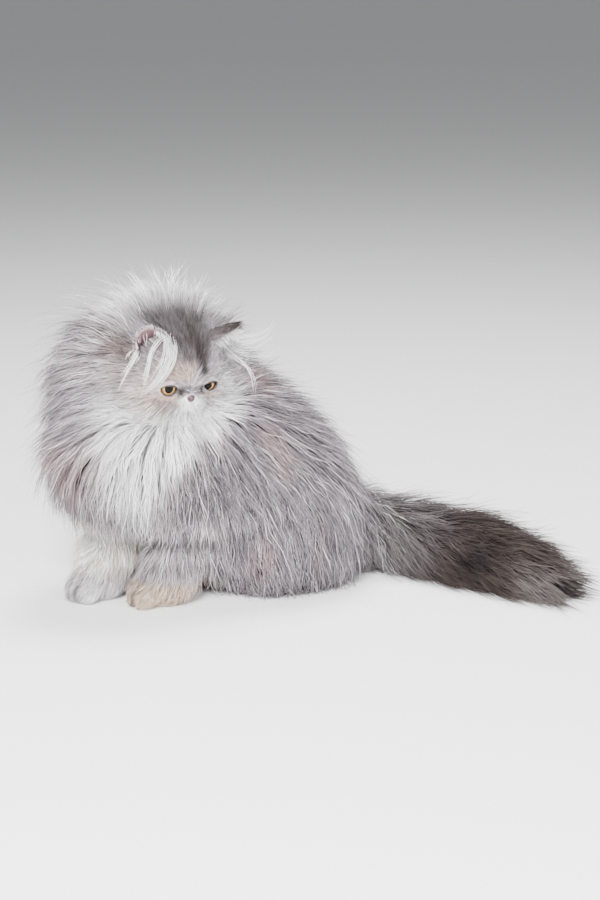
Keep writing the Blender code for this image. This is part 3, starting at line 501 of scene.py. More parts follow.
def paint_crown(paint, points):
    """The dark mottled crown with its stripe between the eyes, the cream brow and the lighter temples."""
    ahead, left, up = in_head(points)
    head = head_share(points)
    paint(PALE, head * 0.80)
    paint(SILVER, head * 0.60 * rise(up, -0.005, 0.030))
    paint(BLUSH, 0.60 * head * bump(left, -0.044, 0.022) * bump(up, -0.012, 0.024))
    wide = 0.019 + 1.3 * np.clip(up - 0.034, 0, 0.022)
    crown = flat(left - 0.004, wide, 0.008) * rise(up, 0.021, 0.031) * rise(ahead, -0.032, -0.018)
    mottled = 0.5 + 0.5 * np.clip(noise(points, 0.0075, 9), -1, 1)
    paint(SLATE, crown * (0.74 + 0.24 * mottled))
    below_ear = flat(left + 0.060, 0.013, 0.008) * flat(up - 0.026, 0.013, 0.008)
    paint(TAN * 0.8, 0.7 * below_ear * (ahead > -0.03))
    front = rise(ahead, 0.0, 0.02)
    brow = flat(left + 0.017, 0.017, 0.006) * flat(up - 0.018, 0.009, 0.005) * rise(ahead, 0.010, 0.026)
    paint(CREAM, 0.85 * brow)
    paint(PALE, 0.8 * bump(left, 0.032, 0.012) * bump(up, 0.018, 0.014) * front)
    paint(SILVER, 0.5 * bump(left, -0.030, 0.010) * bump(up, 0.036, 0.010) * front)
    stripe = flat(left - 0.0085 - 0.20 * (0.036 - up), 0.0050, 0.003) * rise(up, 0.009, 0.016)
    paint(SLATE, 0.95 * stripe * front * head)


def paint_lids(paint, points):
    """Tan and a pale tear line below each eye, and dark shading at its inner corner and upper lid."""
    front = rise(in_head(points)[0], 0.010, 0.025)
    mottled = 0.72 + 0.28 * np.clip(noise(points, 0.006, 11), -1, 1)
    # By side: how far below the eye the tan is, its half height, and its strength
    for side, low, deep, strength in ((-1, 0.0185, 0.0105, 0.82), (1, 0.0110, 0.0050, 0.66)):
        offset = points - eye_centre(side)
        across, drop = side * (offset @ HEAD_LEFT), offset @ HEAD_UP
        below = flat(across - 0.006, 0.015, 0.010) * flat(drop + low, deep, 0.008)
        paint(TAN, strength * mottled * below * front)
        tear = flat(across - 0.001, 0.009, 0.003) * flat(drop + 0.0100, 0.0012, 0.001)
        paint(TEAR, 0.6 * tear * front)
        corner = flat(across + 0.0105, 0.0030, 0.0020) * flat(drop + 0.003, 0.0040, 0.002)
        paint(SLATE * 0.6, 0.95 * corner * front)
        paint(SLATE, 0.60 * bump(across, -0.002, 0.010) * bump(drop, 0.0062, 0.0015) * front)


def paint_muzzle(paint, points):
    """The white muzzle, with a dark bridge over the nose and a dark spot under it."""
    ahead, left, up = in_head(points)
    muzzle = flat(left - 0.001, 0.0135, 0.005) * rise(-up, 0.007, 0.013) * rise(ahead, 0.022, 0.034)
    paint(WHITE, 0.97 * head_share(points) * muzzle)
    front = rise(ahead, 0.02, 0.03)
    paint(SLATE, 0.66 * flat(left, 0.0105, 0.003) * flat(up + 0.0015, 0.0042, 0.002) * front)
    paint(SLATE, 0.60 * bump(left, -0.002, 0.0035) * bump(up, -0.028, 0.0030) * front)


def paint_cheeks(paint, points):
    """The white chin and the white of the cheek under the cat's left eye."""
    ahead, left, up = in_head(points)
    head = head_share(points)
    chin = rise(-up, 0.018, 0.030) * rise(ahead, -0.016, 0.010) * rise(-np.abs(left), -0.060, -0.030)
    paint(WHITE, 0.92 * chin * head)
    paint(WHITE, 0.85 * bump(left, 0.044, 0.014) * bump(up, -0.014, 0.018) * head)


# Each one paints over those before it.
MARKINGS = (
    paint_body,
    paint_mane,
    paint_bib,
    paint_forelegs,
    paint_tail,
    paint_crown,
    paint_cheeks,
    paint_lids,
    paint_muzzle,
)


def markings(points):
    """The coat's colour at each point of the skin."""
    colour = np.tile(SILVER, (len(points), 1))

    def paint(shade, amount):
        colour[:] = blended(colour, shade, np.clip(amount, 0, 1)[:, None])

    for part in MARKINGS:
        part(paint, points)
    return colour


# Mesh helpers
def shader_of(made):
    """The shader of a new material, which is set to use nodes."""
    made.use_nodes = True
    return made.node_tree.nodes["Principled BSDF"]


def new_material(name, roughness, grain, grain_depth, specular, sheen=0.0, coat=0.0, hairs=False):
    """A finish that takes its colour from the mesh's Coat colours, with a fine grain in colour and bump."""
    made = bpy.data.materials.new(name)
    shader = shader_of(made)
    nodes, link = made.node_tree.nodes, made.node_tree.links.new
    for setting, value in (
        ("Roughness", roughness),
        ("Specular IOR Level", specular),
        ("Sheen Weight", sheen),
        ("Sheen Roughness", 0.4),
        ("Coat Weight", coat),
        ("Coat Roughness", 0.03),
    ):
        shader.inputs[setting].default_value = value
    paint = nodes.new("ShaderNodeVertexColor")
    paint.layer_name = "Coat"
    texture = nodes.new("ShaderNodeTexNoise")
    texture.inputs["Scale"].default_value = grain
    texture.inputs["Detail"].default_value = 3.0
    if hairs:
        place = nodes.new("ShaderNodeUVMap")
        place.uv_map = "OFBake"
        stretch = nodes.new("ShaderNodeMapping")
        stretch.inputs["Scale"].default_value = (8.0, 0.35, 1.0)
        link(place.outputs["UV"], stretch.inputs["Vector"])
        link(stretch.outputs["Vector"], texture.inputs["Vector"])
    else:
        place = nodes.new("ShaderNodeTexCoord")
        link(place.outputs["Object"], texture.inputs["Vector"])
    level = nodes.new("ShaderNodeMapRange")
    for setting, value in (
        ("From Min", 0.3),
        ("From Max", 0.7),
        ("To Min", 1.0 - grain_depth),
        ("To Max", 1.0 + 0.4 * grain_depth),
    ):
        level.inputs[setting].default_value = value
    link(texture.outputs["Fac"], level.inputs["Value"])
    mix = nodes.new("ShaderNodeVectorMath")
    mix.operation = "SCALE"
    link(paint.outputs["Color"], mix.inputs[0])
    link(level.outputs["Result"], mix.inputs["Scale"])
    link(mix.outputs["Vector"], shader.inputs["Base Color"])
    relief = nodes.new("ShaderNodeBump")
    relief.inputs["Strength"].default_value = 0.35
    relief.inputs["Distance"].default_value = 0.0006
    link(texture.outputs["Fac"], relief.inputs["Height"])
    link(relief.outputs["Normal"], shader.inputs["Normal"])
    return made


def placed(name, data):
    """A new object in the scene."""
    obj = bpy.data.objects.new(name, data)
    bpy.context.scene.collection.objects.link(obj)
    return obj


def points_of(mesh):
    """The mesh's points, one in each row."""
    values = np.empty(len(mesh.vertices) * 3)
    mesh.vertices.foreach_get("co", values)
    return values.reshape(-1, 3)


def paint_mesh(mesh, colours):
    """Stores one colour for each vertex."""
    layer = mesh.color_attributes.new("Coat", "FLOAT_COLOR", "POINT")
    rows = np.ones((len(mesh.vertices), 4), np.float32)
    rows[:, :3] = np.clip(colours, 0.003, 1.0)
    layer.data.foreach_set("color", rows.ravel())


def add_piece(name, mesh, material):
    """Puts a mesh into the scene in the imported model's frame, on the one body."""
    mesh.transform(Matrix.Translation(Vector(SHIFT)))
    obj = placed(name, mesh)
    mesh.materials.clear()
    mesh.materials.append(material)
    mesh.shade_smooth()
    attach(obj, "root")
    return obj


def mesh_from_bmesh(name, bm):
    """A new mesh from the bmesh, with its faces turned outward."""
    bm.normal_update()
    bmesh.ops.recalc_face_normals(bm, faces=bm.faces)
    mesh = bpy.data.meshes.new(name)
    bm.to_mesh(mesh)
    bm.free()
    return mesh


def apply_modifier(mesh, kind, **settings):
    """The mesh with one modifier applied."""
    obj = placed("work", mesh)
    modifier = obj.modifiers.new("work", kind)
    for key, value in settings.items():
        setattr(modifier, key, value)
    graph = bpy.context.evaluated_depsgraph_get()
    made = bpy.data.meshes.new_from_object(obj.evaluated_get(graph))
    bpy.data.objects.remove(obj, do_unlink=True)
    return made


# The skin
def rough_balls(form, share):
    """The centres and half sizes of the balls that fill one form, as a start for the remesh."""
    grow = form["coat"] * share
    if "start" not in form:
        return [(form["centre"], (form["radii"] + grow)[:, None] * form["axes"])]
    steps = 1 + int(np.linalg.norm(form["end"] - form["start"]) / (0.4 * (min(form["radii"]) + grow)))
    balls = []
    for along in np.linspace(0, 1, steps + 1):
        radius = form["radii"][0] + along * (form["radii"][1] - form["radii"][0]) + grow
        balls.append((form["start"] + along * (form["end"] - form["start"]), radius * np.eye(3)))
    return balls


def rough_mesh():
    """All forms as overlapping balls in one mesh."""
    bm = bmesh.new()
    bmesh.ops.create_icosphere(bm, subdivisions=4, radius=1.0)
    ball = np.array([vert.co[:] for vert in bm.verts])
    faces = np.array([[vert.index for vert in face.verts] for face in bm.faces])
    bm.free()
    balls = [item for form in FORMS for item in rough_balls(form, SKIN_SHARE)]
    points = np.concatenate([centre + ball @ sizes for centre, sizes in balls])
    corners = np.concatenate([faces + number * len(ball) for number in range(len(balls))])
    mesh = bpy.data.meshes.new("rough")
    mesh.from_pydata(points, [], corners)
    return mesh


def settle(mesh, rounds):
    """Moves the mesh's points onto the skin."""
    points = points_of(mesh)
    for _ in range(rounds):
        points = points - slope(points) * distance(points)[:, None]
    points[:, 2] = np.maximum(points[:, 2], FLOOR_CLEARANCE)
    mesh.vertices.foreach_set("co", points.ravel())
    mesh.update()


def opening_reach(points, side):
    """How far each point is from the middle of an eye's opening: one on the edge of the lids."""
    half_width, above, below = EYE_OPENING[side]
    local = (points - eye_centre(side)) @ eye_axes(side).T
    half_height = np.where(local[:, 2] > 0, above, below)
    reach = np.sqrt((local[:, 1] / half_width) ** 2 + (local[:, 2] / half_height) ** 2)
    return np.where(local[:, 0] > 0, reach, 9.0)


def lid_height(side, share):
    """How high the opening's edge is for a share from minus one, at its bottom, to one, at its top."""
    _, above, below = EYE_OPENING[side]
    return share * (above if share > 0 else below)


def eye_cutters(side):
    """The prism through the lids and the socket's sphere, as one mesh each."""
    half_width = EYE_OPENING[side][0]
    axes = eye_axes(side)
    start = eye_centre(side) + axes[0] * EYE_RADIUS * 0.35
    prism = bmesh.new()
    bmesh.ops.create_cone(prism, cap_ends=True, segments=48, radius1=1.0, radius2=1.08, depth=1.0)
    for vert in prism.verts:
        across, height, out = vert.co
        height = lid_height(side, height)
        reach = (out + 0.5) * PRISM_LENGTH
        vert.co = Vector(start + axes[1] * across * half_width + axes[2] * height + axes[0] * reach)
    socket = bmesh.new()
    place = Matrix.Translation(Vector(eye_centre(side)))
    radius = EYE_RADIUS + SOCKET_GAP
    bmesh.ops.create_uvsphere(socket, u_segments=48, v_segments=32, radius=radius, matrix=place)
    return mesh_from_bmesh("prism", prism), mesh_from_bmesh("socket", socket)


def skin_mesh():
    """One closed surface of the whole animal, finer on the head, with the eye sockets cut."""
    mesh = apply_modifier(rough_mesh(), "REMESH", mode="VOXEL", voxel_size=SKIN_VOXEL)
    settle(mesh, 3)
    bm = bmesh.new()
    bm.from_mesh(mesh)
    near = [edge for edge in bm.edges if all(in_face(vert.co) for vert in edge.verts)]
    bmesh.ops.subdivide_edges(bm, edges=near, cuts=2, use_grid_fill=True)
    bmesh.ops.triangulate(bm, faces=bm.faces)
    mesh = mesh_from_bmesh("skin", bm)
    settle(mesh, 2)
    for side in (-1, 1):
        for cutter in eye_cutters(side):
            tool = placed("cutter", cutter)
            mesh = apply_modifier(mesh, "BOOLEAN", operation="DIFFERENCE", solver="MANIFOLD", object=tool)
            bpy.data.objects.remove(tool, do_unlink=True)
    return mesh


def in_face(point):
    """Whether a point is in the front of the head, where the skin is finer."""
    ahead, left, up = in_head(np.array(point))
    return ahead > 0.016 and abs(left) < 0.040 and -0.040 < up < 0.030


def unwrap(mesh):
    """Unwraps the skin by its own shape and gives the map at each corner."""
    obj = placed("unwrap", mesh)
    bpy.context.view_layer.objects.active = obj
    obj.select_set(True)
    mesh.uv_layers.new(name="OFBake")
    bpy.ops.object.mode_set(mode="EDIT")
    bpy.ops.mesh.select_all(action="SELECT")
    bpy.ops.uv.smart_project(angle_limit=math.radians(70), island_margin=0.002)
    bpy.ops.object.mode_set(mode="OBJECT")
    places = np.empty(len(mesh.loops) * 2)
    mesh.uv_layers["OFBake"].data.foreach_get("uv", places)
    bpy.data.objects.remove(obj, do_unlink=True)
    return places.reshape(-1, 2)


def skin_colours(points):
    """The markings with painted shade where the coat is deep, dark edges to the lids, and painted shade in
    the cups of the ears.
    """
    depth = distance(points) - distance(points, 1.0)
    # Painted shade: the skin is darker where the coat over it is deep.
    colour = markings(points) * (1 - 0.15 * rise(depth, 0.004, 0.016))[:, None]
    for side in (-1, 1):
        edge = bump(opening_reach(points, side), 1.0, 0.10)[:, None]
        colour = blended(colour, LID_EDGE, edge)
        span, height, out = in_ear(points, side)
        # Painted shade: the cup of each ear is a dark flesh colour so that it reads as a deep hollow.
        cup = flat(span, 0.016, 0.003) * rise(height, 0.004, 0.010)
        cup = cup * rise(out, -0.012, -0.008) * rise(-out, -0.020, -0.014)
        colour = blended(colour, CUP_SHADE, cup[:, None])
    return colour


# The coat

# By region, the values named in COAT_VALUES. There are so many tufts to the square centimetre, hug is how
# closely they follow the skin, clump how far they gather in locks, and wave how far they swing aside.
COAT_VALUES = ("tufts", "length", "width", "hug", "clump", "wave")
COAT = {
    "mane": (18, 0.080, 0.00054, 0.75, 0.30, 0.0034),
    "ruff": (21, 0.078, 0.00056, 0.80, 0.26, 0.0034),
    "neck": (13, 0.070, 0.00058, 0.85, 0.34, 0.0030),
    "shoulder": (13, 0.072, 0.00057, 0.85, 0.42, 0.0036),
    "back": (12, 0.070, 0.00057, 0.80, 0.42, 0.0030),
    "flank": (13, 0.074, 0.00056, 0.55, 0.52, 0.0042),
    "rump": (12, 0.064, 0.00057, 0.65, 0.48, 0.0034),
    "haunch": (12, 0.072, 0.00056, 0.55, 0.52, 0.0040),
    "tail": (25, 0.080, 0.00056, 0.50, 0.58, 0.0034),
    "foreleg": (25, 0.034, 0.00050, 0.84, 0.50, 0.0016),
    "paw": (90, 0.0090, 0.00036, 0.88, 0.60, 0.0005),
    "foot": (20, 0.018, 0.00055, 0.85, 0.45, 0.0006),
    "skull": (102, 0.018, 0.00038, 0.90, 0.35, 0.0007),
    "cheek": (90, 0.021, 0.00038, 0.85, 0.40, 0.0010),
    "face": (255, 0.0080, 0.00027, 0.95, 0.25, 0.0002),
    "muzzle": (250, 0.0070, 0.00026, 0.92, 0.25, 0.0002),
    "nose": (220, 0.0042, 0.00024, 0.97, 0.20, 0.0),
    "lid": (300, 0.0052, 0.00024, 0.97, 0.20, 0.0),
    "chin": (140, 0.0150, 0.00038, 0.70, 0.25, 0.0007),
}
REGIONS = list(COAT)
GUIDE_STEPS = 10
WAVE_LENGTH = 0.034
SHORT_LENGTH = 0.034
STRAY_SHARE = 0.15
TONE_STRENGTH = 0.30
MOST_TRIANGLES = 190000
# The side of a tuft's patch on the OFBake map, and the height of its ridge as a share of its half width
PATCH = 0.003
RIDGE = 0.55
NOSE_BRIDGE = head_point(0.040, 0.0, -0.0105)
NOSE_HEIGHT = -0.0112
# The ways in which an eye has to stay free of hair from the side, and in which both eyes look
SIDE_VIEW = unit(0.73 * FACING - 0.47 * HEAD_LEFT + 0.49 * HEAD_UP)
GAZE = unit(FACING - 0.24 * HEAD_LEFT + 0.06 * HEAD_UP)

# By kind of tuft: its half width at each ring as a share, how far it strays from its guide, how far its
# colour lags behind toward its root, the share of pale tufts, and how much darker its root is, partly the
# hair's own colour and partly painted shade deep in the coat.
KINDS = {
    "long": {"profile": (0.60, 1.00, 0.95, 0.62), "scatter": 0.055, "lag": 0.25, "pale": 0.14, "shade": 1.0},
    "short": {"profile": (0.80, 1.00, 0.70), "scatter": 0.085, "lag": 0.10, "pale": 0.06, "shade": 0.6},
}


def region_weights(points):
    """How much each region counts at each point: mostly the nearest form's, and mixed near a border."""
    near = np.full((len(points), len(REGIONS)), 9.0)
    for form in FORMS:
        column = REGIONS.index(form["region"])
        near[:, column] = np.minimum(near[:, column], form_distance(form, points, SKIN_SHARE))
    width = 0.003 + 0.009 * rise(np.linalg.norm(points - NOSE_BRIDGE, axis=1), 0.03, 0.09)
    weights = np.exp(-(near - near.min(axis=1, keepdims=True)) / width[:, None])
    return weights / weights.sum(axis=1, keepdims=True)


def tail_run(points):
    """The tail's direction nearest to each point, and the way out from its line."""
    joints = np.array([joint[0] for joint in TAIL_LINE])
    runs = unit(joints[1:] - joints[:-1])
    middles = (joints[1:] + joints[:-1]) / 2
    share = np.exp(-np.linalg.norm(points[:, None] - middles, axis=2) / 0.012)
    share /= share.sum(axis=1, keepdims=True)
    run = unit(share @ runs)
    offset = points - share @ middles
    return run, unit(offset - (offset * run).sum(axis=1, keepdims=True) * run)


def lie(points, weights):
    """The way the hair runs at each point, mixed from the regions that count there."""
    from_face = points - HEAD_CENTRE
    forward = from_face @ FACING
    radial = unit(from_face - forward[:, None] * FACING)
    weight = 0.55 * (1 - np.clip(radial[:, 2:], 0, 1))
    away = unit(radial - 0.40 * FACING - weight * UPWARD)
    from_nose = unit(points - NOSE_BRIDGE)
    back, left, height = in_body(points)
    rearward = np.clip((back - 0.03) / 0.10, -0.3, 1.0) * (0.12 + 0.60 * rise(height, 0.07, 0.20))
    rearward = rearward[:, None]
    spread = np.clip(left / 0.08, -1, 1)[:, None]
    body = unit(rearward * BACKWARD + 0.18 * spread * LEFTWARD - UPWARD)
    near = np.clip(1.3 - np.linalg.norm(from_face, axis=1) / 0.12, 0, 1)[:, None]
    body = unit(near * away + (1 - near) * body)
    run, out = tail_run(points)
    sweep = 0.12 + 0.75 * bump(points[:, :1], 0.090, 0.045)
    ways = {
        "mane": away,
        "skull": unit(radial - 0.75 * FACING - 0.30 * UPWARD + 0.4 * from_nose),
        "cheek": unit(radial - 0.75 * FACING - 0.45 * UPWARD + 0.4 * from_nose),
        "chin": unit(from_nose + 0.5 * FACING - 1.2 * UPWARD),
        "tail": unit(run + 0.40 * out - sweep * UPWARD),
        "paw": np.tile(unit(-0.9 * BACKWARD - 0.5 * UPWARD), (len(points), 1)),
    }
    ways["foot"] = ways["paw"]
    for region in ("face", "muzzle", "nose", "lid"):
        ways[region] = unit(from_nose - 0.15 * UPWARD)
    total = np.zeros_like(points)
    for column, region in enumerate(REGIONS):
        total += weights[:, column : column + 1] * ways.get(region, body)
    total = unit(total)
    for side in (-1, 1):
        axes = eye_axes(side)
        offset = points - eye_centre(side)
        offset = unit(offset - (offset @ axes[0])[:, None] * axes[0])
        near = 1 - rise(opening_reach(points, side), 1.15, 2.0)[:, None]
        total = unit(blended(total, offset, near))
    return total


def mixed(weights, item):
    """One of the COAT values at each point, mixed from the regions that count there."""
    column = COAT_VALUES.index(item)
    return weights @ np.array([values[column] for values in COAT.values()])


def sample_skin(mesh, uvs, count_for):
    """Random points on the skin and their place on the unwrap. count_for gives how many to a square metre."""
    mesh.calc_loop_triangles()
    number = len(mesh.loop_triangles)
    verts, loops = np.empty(number * 3, int), np.empty(number * 3, int)
    mesh.loop_triangles.foreach_get("vertices", verts)
    mesh.loop_triangles.foreach_get("loops", loops)
    corners, maps = points_of(mesh)[verts.reshape(-1, 3)], uvs[loops.reshape(-1, 3)]
    sides = np.cross(corners[:, 1] - corners[:, 0], corners[:, 2] - corners[:, 0])
    area = np.linalg.norm(sides, axis=1) / 2
    order = np.lexsort(np.round(corners.mean(axis=1), 6).T)
    corners, maps, area = corners[order], maps[order], area[order]
    wanted = area * count_for(corners.mean(axis=1))
    chosen = RANDOM.choice(number, int(wanted.sum()), p=wanted / wanted.sum())
    mix = RANDOM.dirichlet((1.0, 1.0, 1.0), len(chosen))
    return np.einsum("ij,ijk->ik", mix, corners[chosen]), np.einsum("ij,ijk->ik", mix, maps[chosen])


def thinned(points, spacing):
    """Indices of the points that are left when each cell of a grid keeps one. Each point has its spacing."""
    cells = np.floor(points / spacing[:, None]).astype(int)
    _, first = np.unique(cells, axis=0, return_index=True)
    return np.sort(first)


def guide_lengths(roots, weights):
    """How long each guide is: shorter beside the eyes, and on the chest so that it ends above the floor."""
    count = len(roots)
    length = mixed(weights, "length") * RANDOM.uniform(0.80, 1.22, count)
    for side in (-1, 1):
        gap = np.linalg.norm(roots - eye_centre(side), axis=1) - EYE_RADIUS
        length = length * np.clip(0.55 + gap / 0.030, 0.55, 1.0)
    hanging = np.maximum(roots[:, 2] - RANDOM.uniform(0.062, 0.098, count), 0.020)
    hanging = hanging / (1.001 - rise(weights[:, REGIONS.index("foreleg")], 0.3, 0.6))
    back = (roots - BODY_ORIGIN) @ BACKWARD
    return np.where(back < 0.070, np.minimum(length, hanging), length)


def march_guides(roots, weights):
    """The lines of the guides over the skin, with the way out of the coat along them."""
    count = len(roots)
    length = guide_lengths(roots, weights)
    back = (roots - BODY_ORIGIN) @ BACKWARD
    hang_free = rise(-roots[:, 2], -0.070, -0.045) * rise(back, 0.08, 0.10)
    hug = (mixed(weights, "hug") * (1 - 0.7 * hang_free))[:, None]
    wave = mixed(weights, "wave")[:, None]
    lift = RANDOM.uniform(0.62, 1.04, count)
    phase = RANDOM.uniform(0, 2 * math.pi, (count, 1))
    wander = RANDOM.uniform(-0.45, 0.45, (count, 1))
    sunk = np.minimum(0.003, 0.10 * length)
    points = roots - slope(roots) * sunk[:, None]
    line, ways = [points], []
    stride = length / GUIDE_STEPS
    for step in range(1, GUIDE_STEPS + 1):
        along = step / GUIDE_STEPS
        outward = slope(points)
        ways.append(outward)
        flow = lie(points, weights)
        leaving = (flow * outward).sum(axis=1, keepdims=True)
        run = unit(flow - np.where(leaving > 0, hug, 1.0) * leaving * outward)
        sideways = np.cross(outward, run)
        turn = phase + 2 * math.pi * along * length[:, None] / WAVE_LENGTH
        swing = wave * 2 * math.pi * np.cos(turn) / WAVE_LENGTH
        run = unit(run + (wander * (along - 0.3) + swing * along) * sideways)
        points = points + run * stride[:, None]
        inner = distance(points)
        depth = inner - distance(points, 1.0)
        want = -sunk + (depth * lift + sunk) * along**0.75
        points = points + outward * np.clip(want - inner, -0.3 * stride, 0.9 * stride)[:, None]
        points[:, 2] = np.maximum(points[:, 2], FLOOR_CLEARANCE + 0.002)
        line.append(points)
    ways.append(slope(points))
    return np.stack(line, axis=1), np.stack(ways, axis=1)


def along_line(lines, places):
    """Points at the given shares of the way along each line."""
    place = places * (lines.shape[1] - 1)
    start = np.minimum(place.astype(int), lines.shape[1] - 2)
    part = (place - start)[..., None]
    rows = np.arange(len(lines))[:, None]
    return lines[rows, start] * (1 - part) + lines[rows, start + 1] * part


def nearest_rows(points, others):
    """The index of the nearest of the others for each point."""
    tree = KDTree(len(others))
    for index, other in enumerate(others):
        tree.insert(other, index)
    tree.balance()
    return np.array([tree.find(point)[1] for point in points])


def on_leather(points, half_width, half_height):
    """Whether each point is on or before an ellipse round the middle of the nose leather."""
    ahead, left, up = in_head(points)
    inside = (left / half_width) ** 2 + ((up - NOSE_HEIGHT) / half_height) ** 2 < 1
    return inside & (ahead > 0.030)


def in_the_way(lines):
    """Whether any part of a line would cover an eye, the nose leather or the cup of an ear."""
    lines = along_line(lines, np.tile(np.linspace(0, 1, 10), (len(lines), 1)))
    points = lines.reshape(-1, 3)
    covered = on_leather(points, 0.0046, 0.0040)
    for side in (-1, 1):
        covered |= opening_reach(points, side) < 0.97
        gaze = eye_axes(side)[0]
        ahead = (points - eye_centre(side) - gaze * EYE_RADIUS * 0.75) @ gaze
        seen = points - (ahead / (SIDE_VIEW @ gaze))[:, None] * SIDE_VIEW
        covered |= (opening_reach(seen, side) < 0.92) & (ahead > 0) & (ahead < 0.030)
        span, height, out = in_ear(points, side)
        low_cup = (height > 0.011) & (height < 0.030)
        covered |= (np.abs(span) < 0.013) & low_cup & (out > -0.006) & (out < 0.016)
    return covered.reshape(lines.shape[:2]).any(axis=1)


def within_bounds(lines):
    """Whether a tuft's line keeps close to the solids' box."""
    low, high = np.array(CAD_BOX) - SHIFT
    slack = 0.03 * (high - low) + 0.006
    return ((lines > low - slack) & (lines < high + slack)).all(axis=(1, 2))


def ring_faces(rings):
    """The faces of one tuft as its points' numbers, and each face corner's place round and along it."""
    faces, corners = [], []
    for level in range(rings - 1):
        low, high = level * 3, level * 3 + 3
        for index in range(3):
            after = (index + 1) % 3
            faces.append((low + index, low + after, high + after, high + index))
            corners += [(index, level), (index + 1, level), (index + 1, level + 1), (index, level + 1)]
    low = (rings - 1) * 3
    for index in range(3):
        faces.append((low + index, low + (index + 1) % 3, rings * 3))
        corners += [(index, rings - 1), (index + 1, rings - 1), (index + 0.5, rings)]
    return faces, np.array(corners, float)


def tuft_mesh(name, lines, ways, widths, profile, flatness, colours, maps):
    """Joins tufts into one mesh. Each is a flat, ridged strip of rings that ends in a point.

    lines and ways are (tuft, ring, axis), with the tip as the last ring, and colours has one for each ring.
    """
    tufts, rings = lines.shape[0], lines.shape[1] - 1
    run = unit(np.gradient(lines, axis=1))
    across = unit(np.cross(run, ways))
    out = np.cross(across, run)
    half = (widths[:, None] * profile)[..., None]
    body = lines[:, :rings]
    side, ridge = across[:, :rings] * half, out[:, :rings] * half * flatness
    ring = np.stack([body - side, body + side, body + ridge], axis=2)
    points = np.concatenate([ring.reshape(tufts, rings * 3, 3), lines[:, rings:]], axis=1)
    per_tuft = rings * 3 + 1
    faces, corners = ring_faces(rings)
    sizes = np.array([len(face) for face in faces])
    flat_faces = np.concatenate([np.array(face) for face in faces])
    mesh = bpy.data.meshes.new(name)
    mesh.vertices.add(tufts * per_tuft)
    mesh.vertices.foreach_set("co", points.reshape(-1).astype(np.float32))
    loops = (np.arange(tufts)[:, None] * per_tuft + flat_faces).reshape(-1)
    mesh.loops.add(len(loops))
    mesh.loops.foreach_set("vertex_index", loops.astype(np.int32))
    all_sizes = np.tile(sizes, tufts)
    mesh.polygons.add(len(all_sizes))
    mesh.polygons.foreach_set("loop_start", (np.cumsum(all_sizes) - all_sizes).astype(np.int32))
    mesh.update(calc_edges=True)
    layer = mesh.uv_layers.new(name="OFBake")
    places = np.clip(maps[:, None] - PATCH / 2 + corners / [3, rings] * PATCH, 0, 1)
    layer.data.foreach_set("uv", places.reshape(-1).astype(np.float32))
    ring_colours = np.repeat(colours[:, :rings], 3, axis=1)
    paint_mesh(mesh, np.concatenate([ring_colours, colours[:, rings:]], axis=1).reshape(-1, 3))
    return mesh


def tuft_colours(kind, roots, lines, shares, lock_tone):
    """Colours along each tuft: the markings where it lies, with a tone for its lock and itself."""
    lag = kind["lag"]
    places = roots[:, None] * lag + lines * (1 - lag)
    base = markings(places.reshape(-1, 3)).reshape(lines.shape)
    own_tone = np.clip(RANDOM.normal(0, 1, len(roots)), -2, 2)
    tone = np.clip(1 + TONE_STRENGTH * (0.55 * lock_tone + 0.65 * own_tone), 0.5, 1.5)
    dark = base.mean(axis=2, keepdims=True) < 0.10
    pale = (RANDOM.random(len(roots)) < kind["pale"])[:, None, None] & ~dark
    base = np.where(pale, base * 0.60 + WHITE * 0.40, base)
    # Darker toward the root: partly the hair's own colour and partly painted shade deep in the coat, stronger
    # on dark hair than on white.
    depth = np.where(base.mean(axis=2) > 0.55, 0.24, 0.34) * kind["shade"]
    ramp = 1.0 - depth + (depth + 0.12) * shares**0.8
    return np.clip(base * tone[:, None, None] * ramp[..., None], 0, 0.92)


def guide_spacing(weights):
    """How far apart the guides are: close where the fur is short."""
    return np.clip(mixed(weights, "length") * 0.12, 0.0022, 0.0075)


def guide_density(points):
    """How many guides to try for each square metre."""
    return 2.2 / guide_spacing(region_weights(points)) ** 2


def tuft_density(points):
    """How many tufts grow on each square metre."""
    return 1e4 * DENSITY * mixed(region_weights(points), "tufts") * furred(points)


def furred(points):
    """One where fur grows, and nothing in the eye sockets, on the nose leather and under the feet."""
    grows = np.ones(len(points))
    for side in (-1, 1):
        grows[np.linalg.norm(points - eye_centre(side), axis=1) < EYE_RADIUS + 0.6 * LID_THICKNESS] = 0
        grows[opening_reach(points, side) < 1.03] = 0
    grows[points[:, 2] < 0.002] = 0
    grows[on_leather(points, 0.0052, 0.0046)] = 0
    return grows


def grow_guides(skin, uvs):
    """The roots and lines of the guides, with the way out of the coat along them."""
    roots, _ = sample_skin(skin, uvs, guide_density)
    weights = region_weights(roots)
    kept = thinned(roots, guide_spacing(weights))
    print("guides", len(kept))
    return roots[kept], *march_guides(roots[kept], weights[kept])


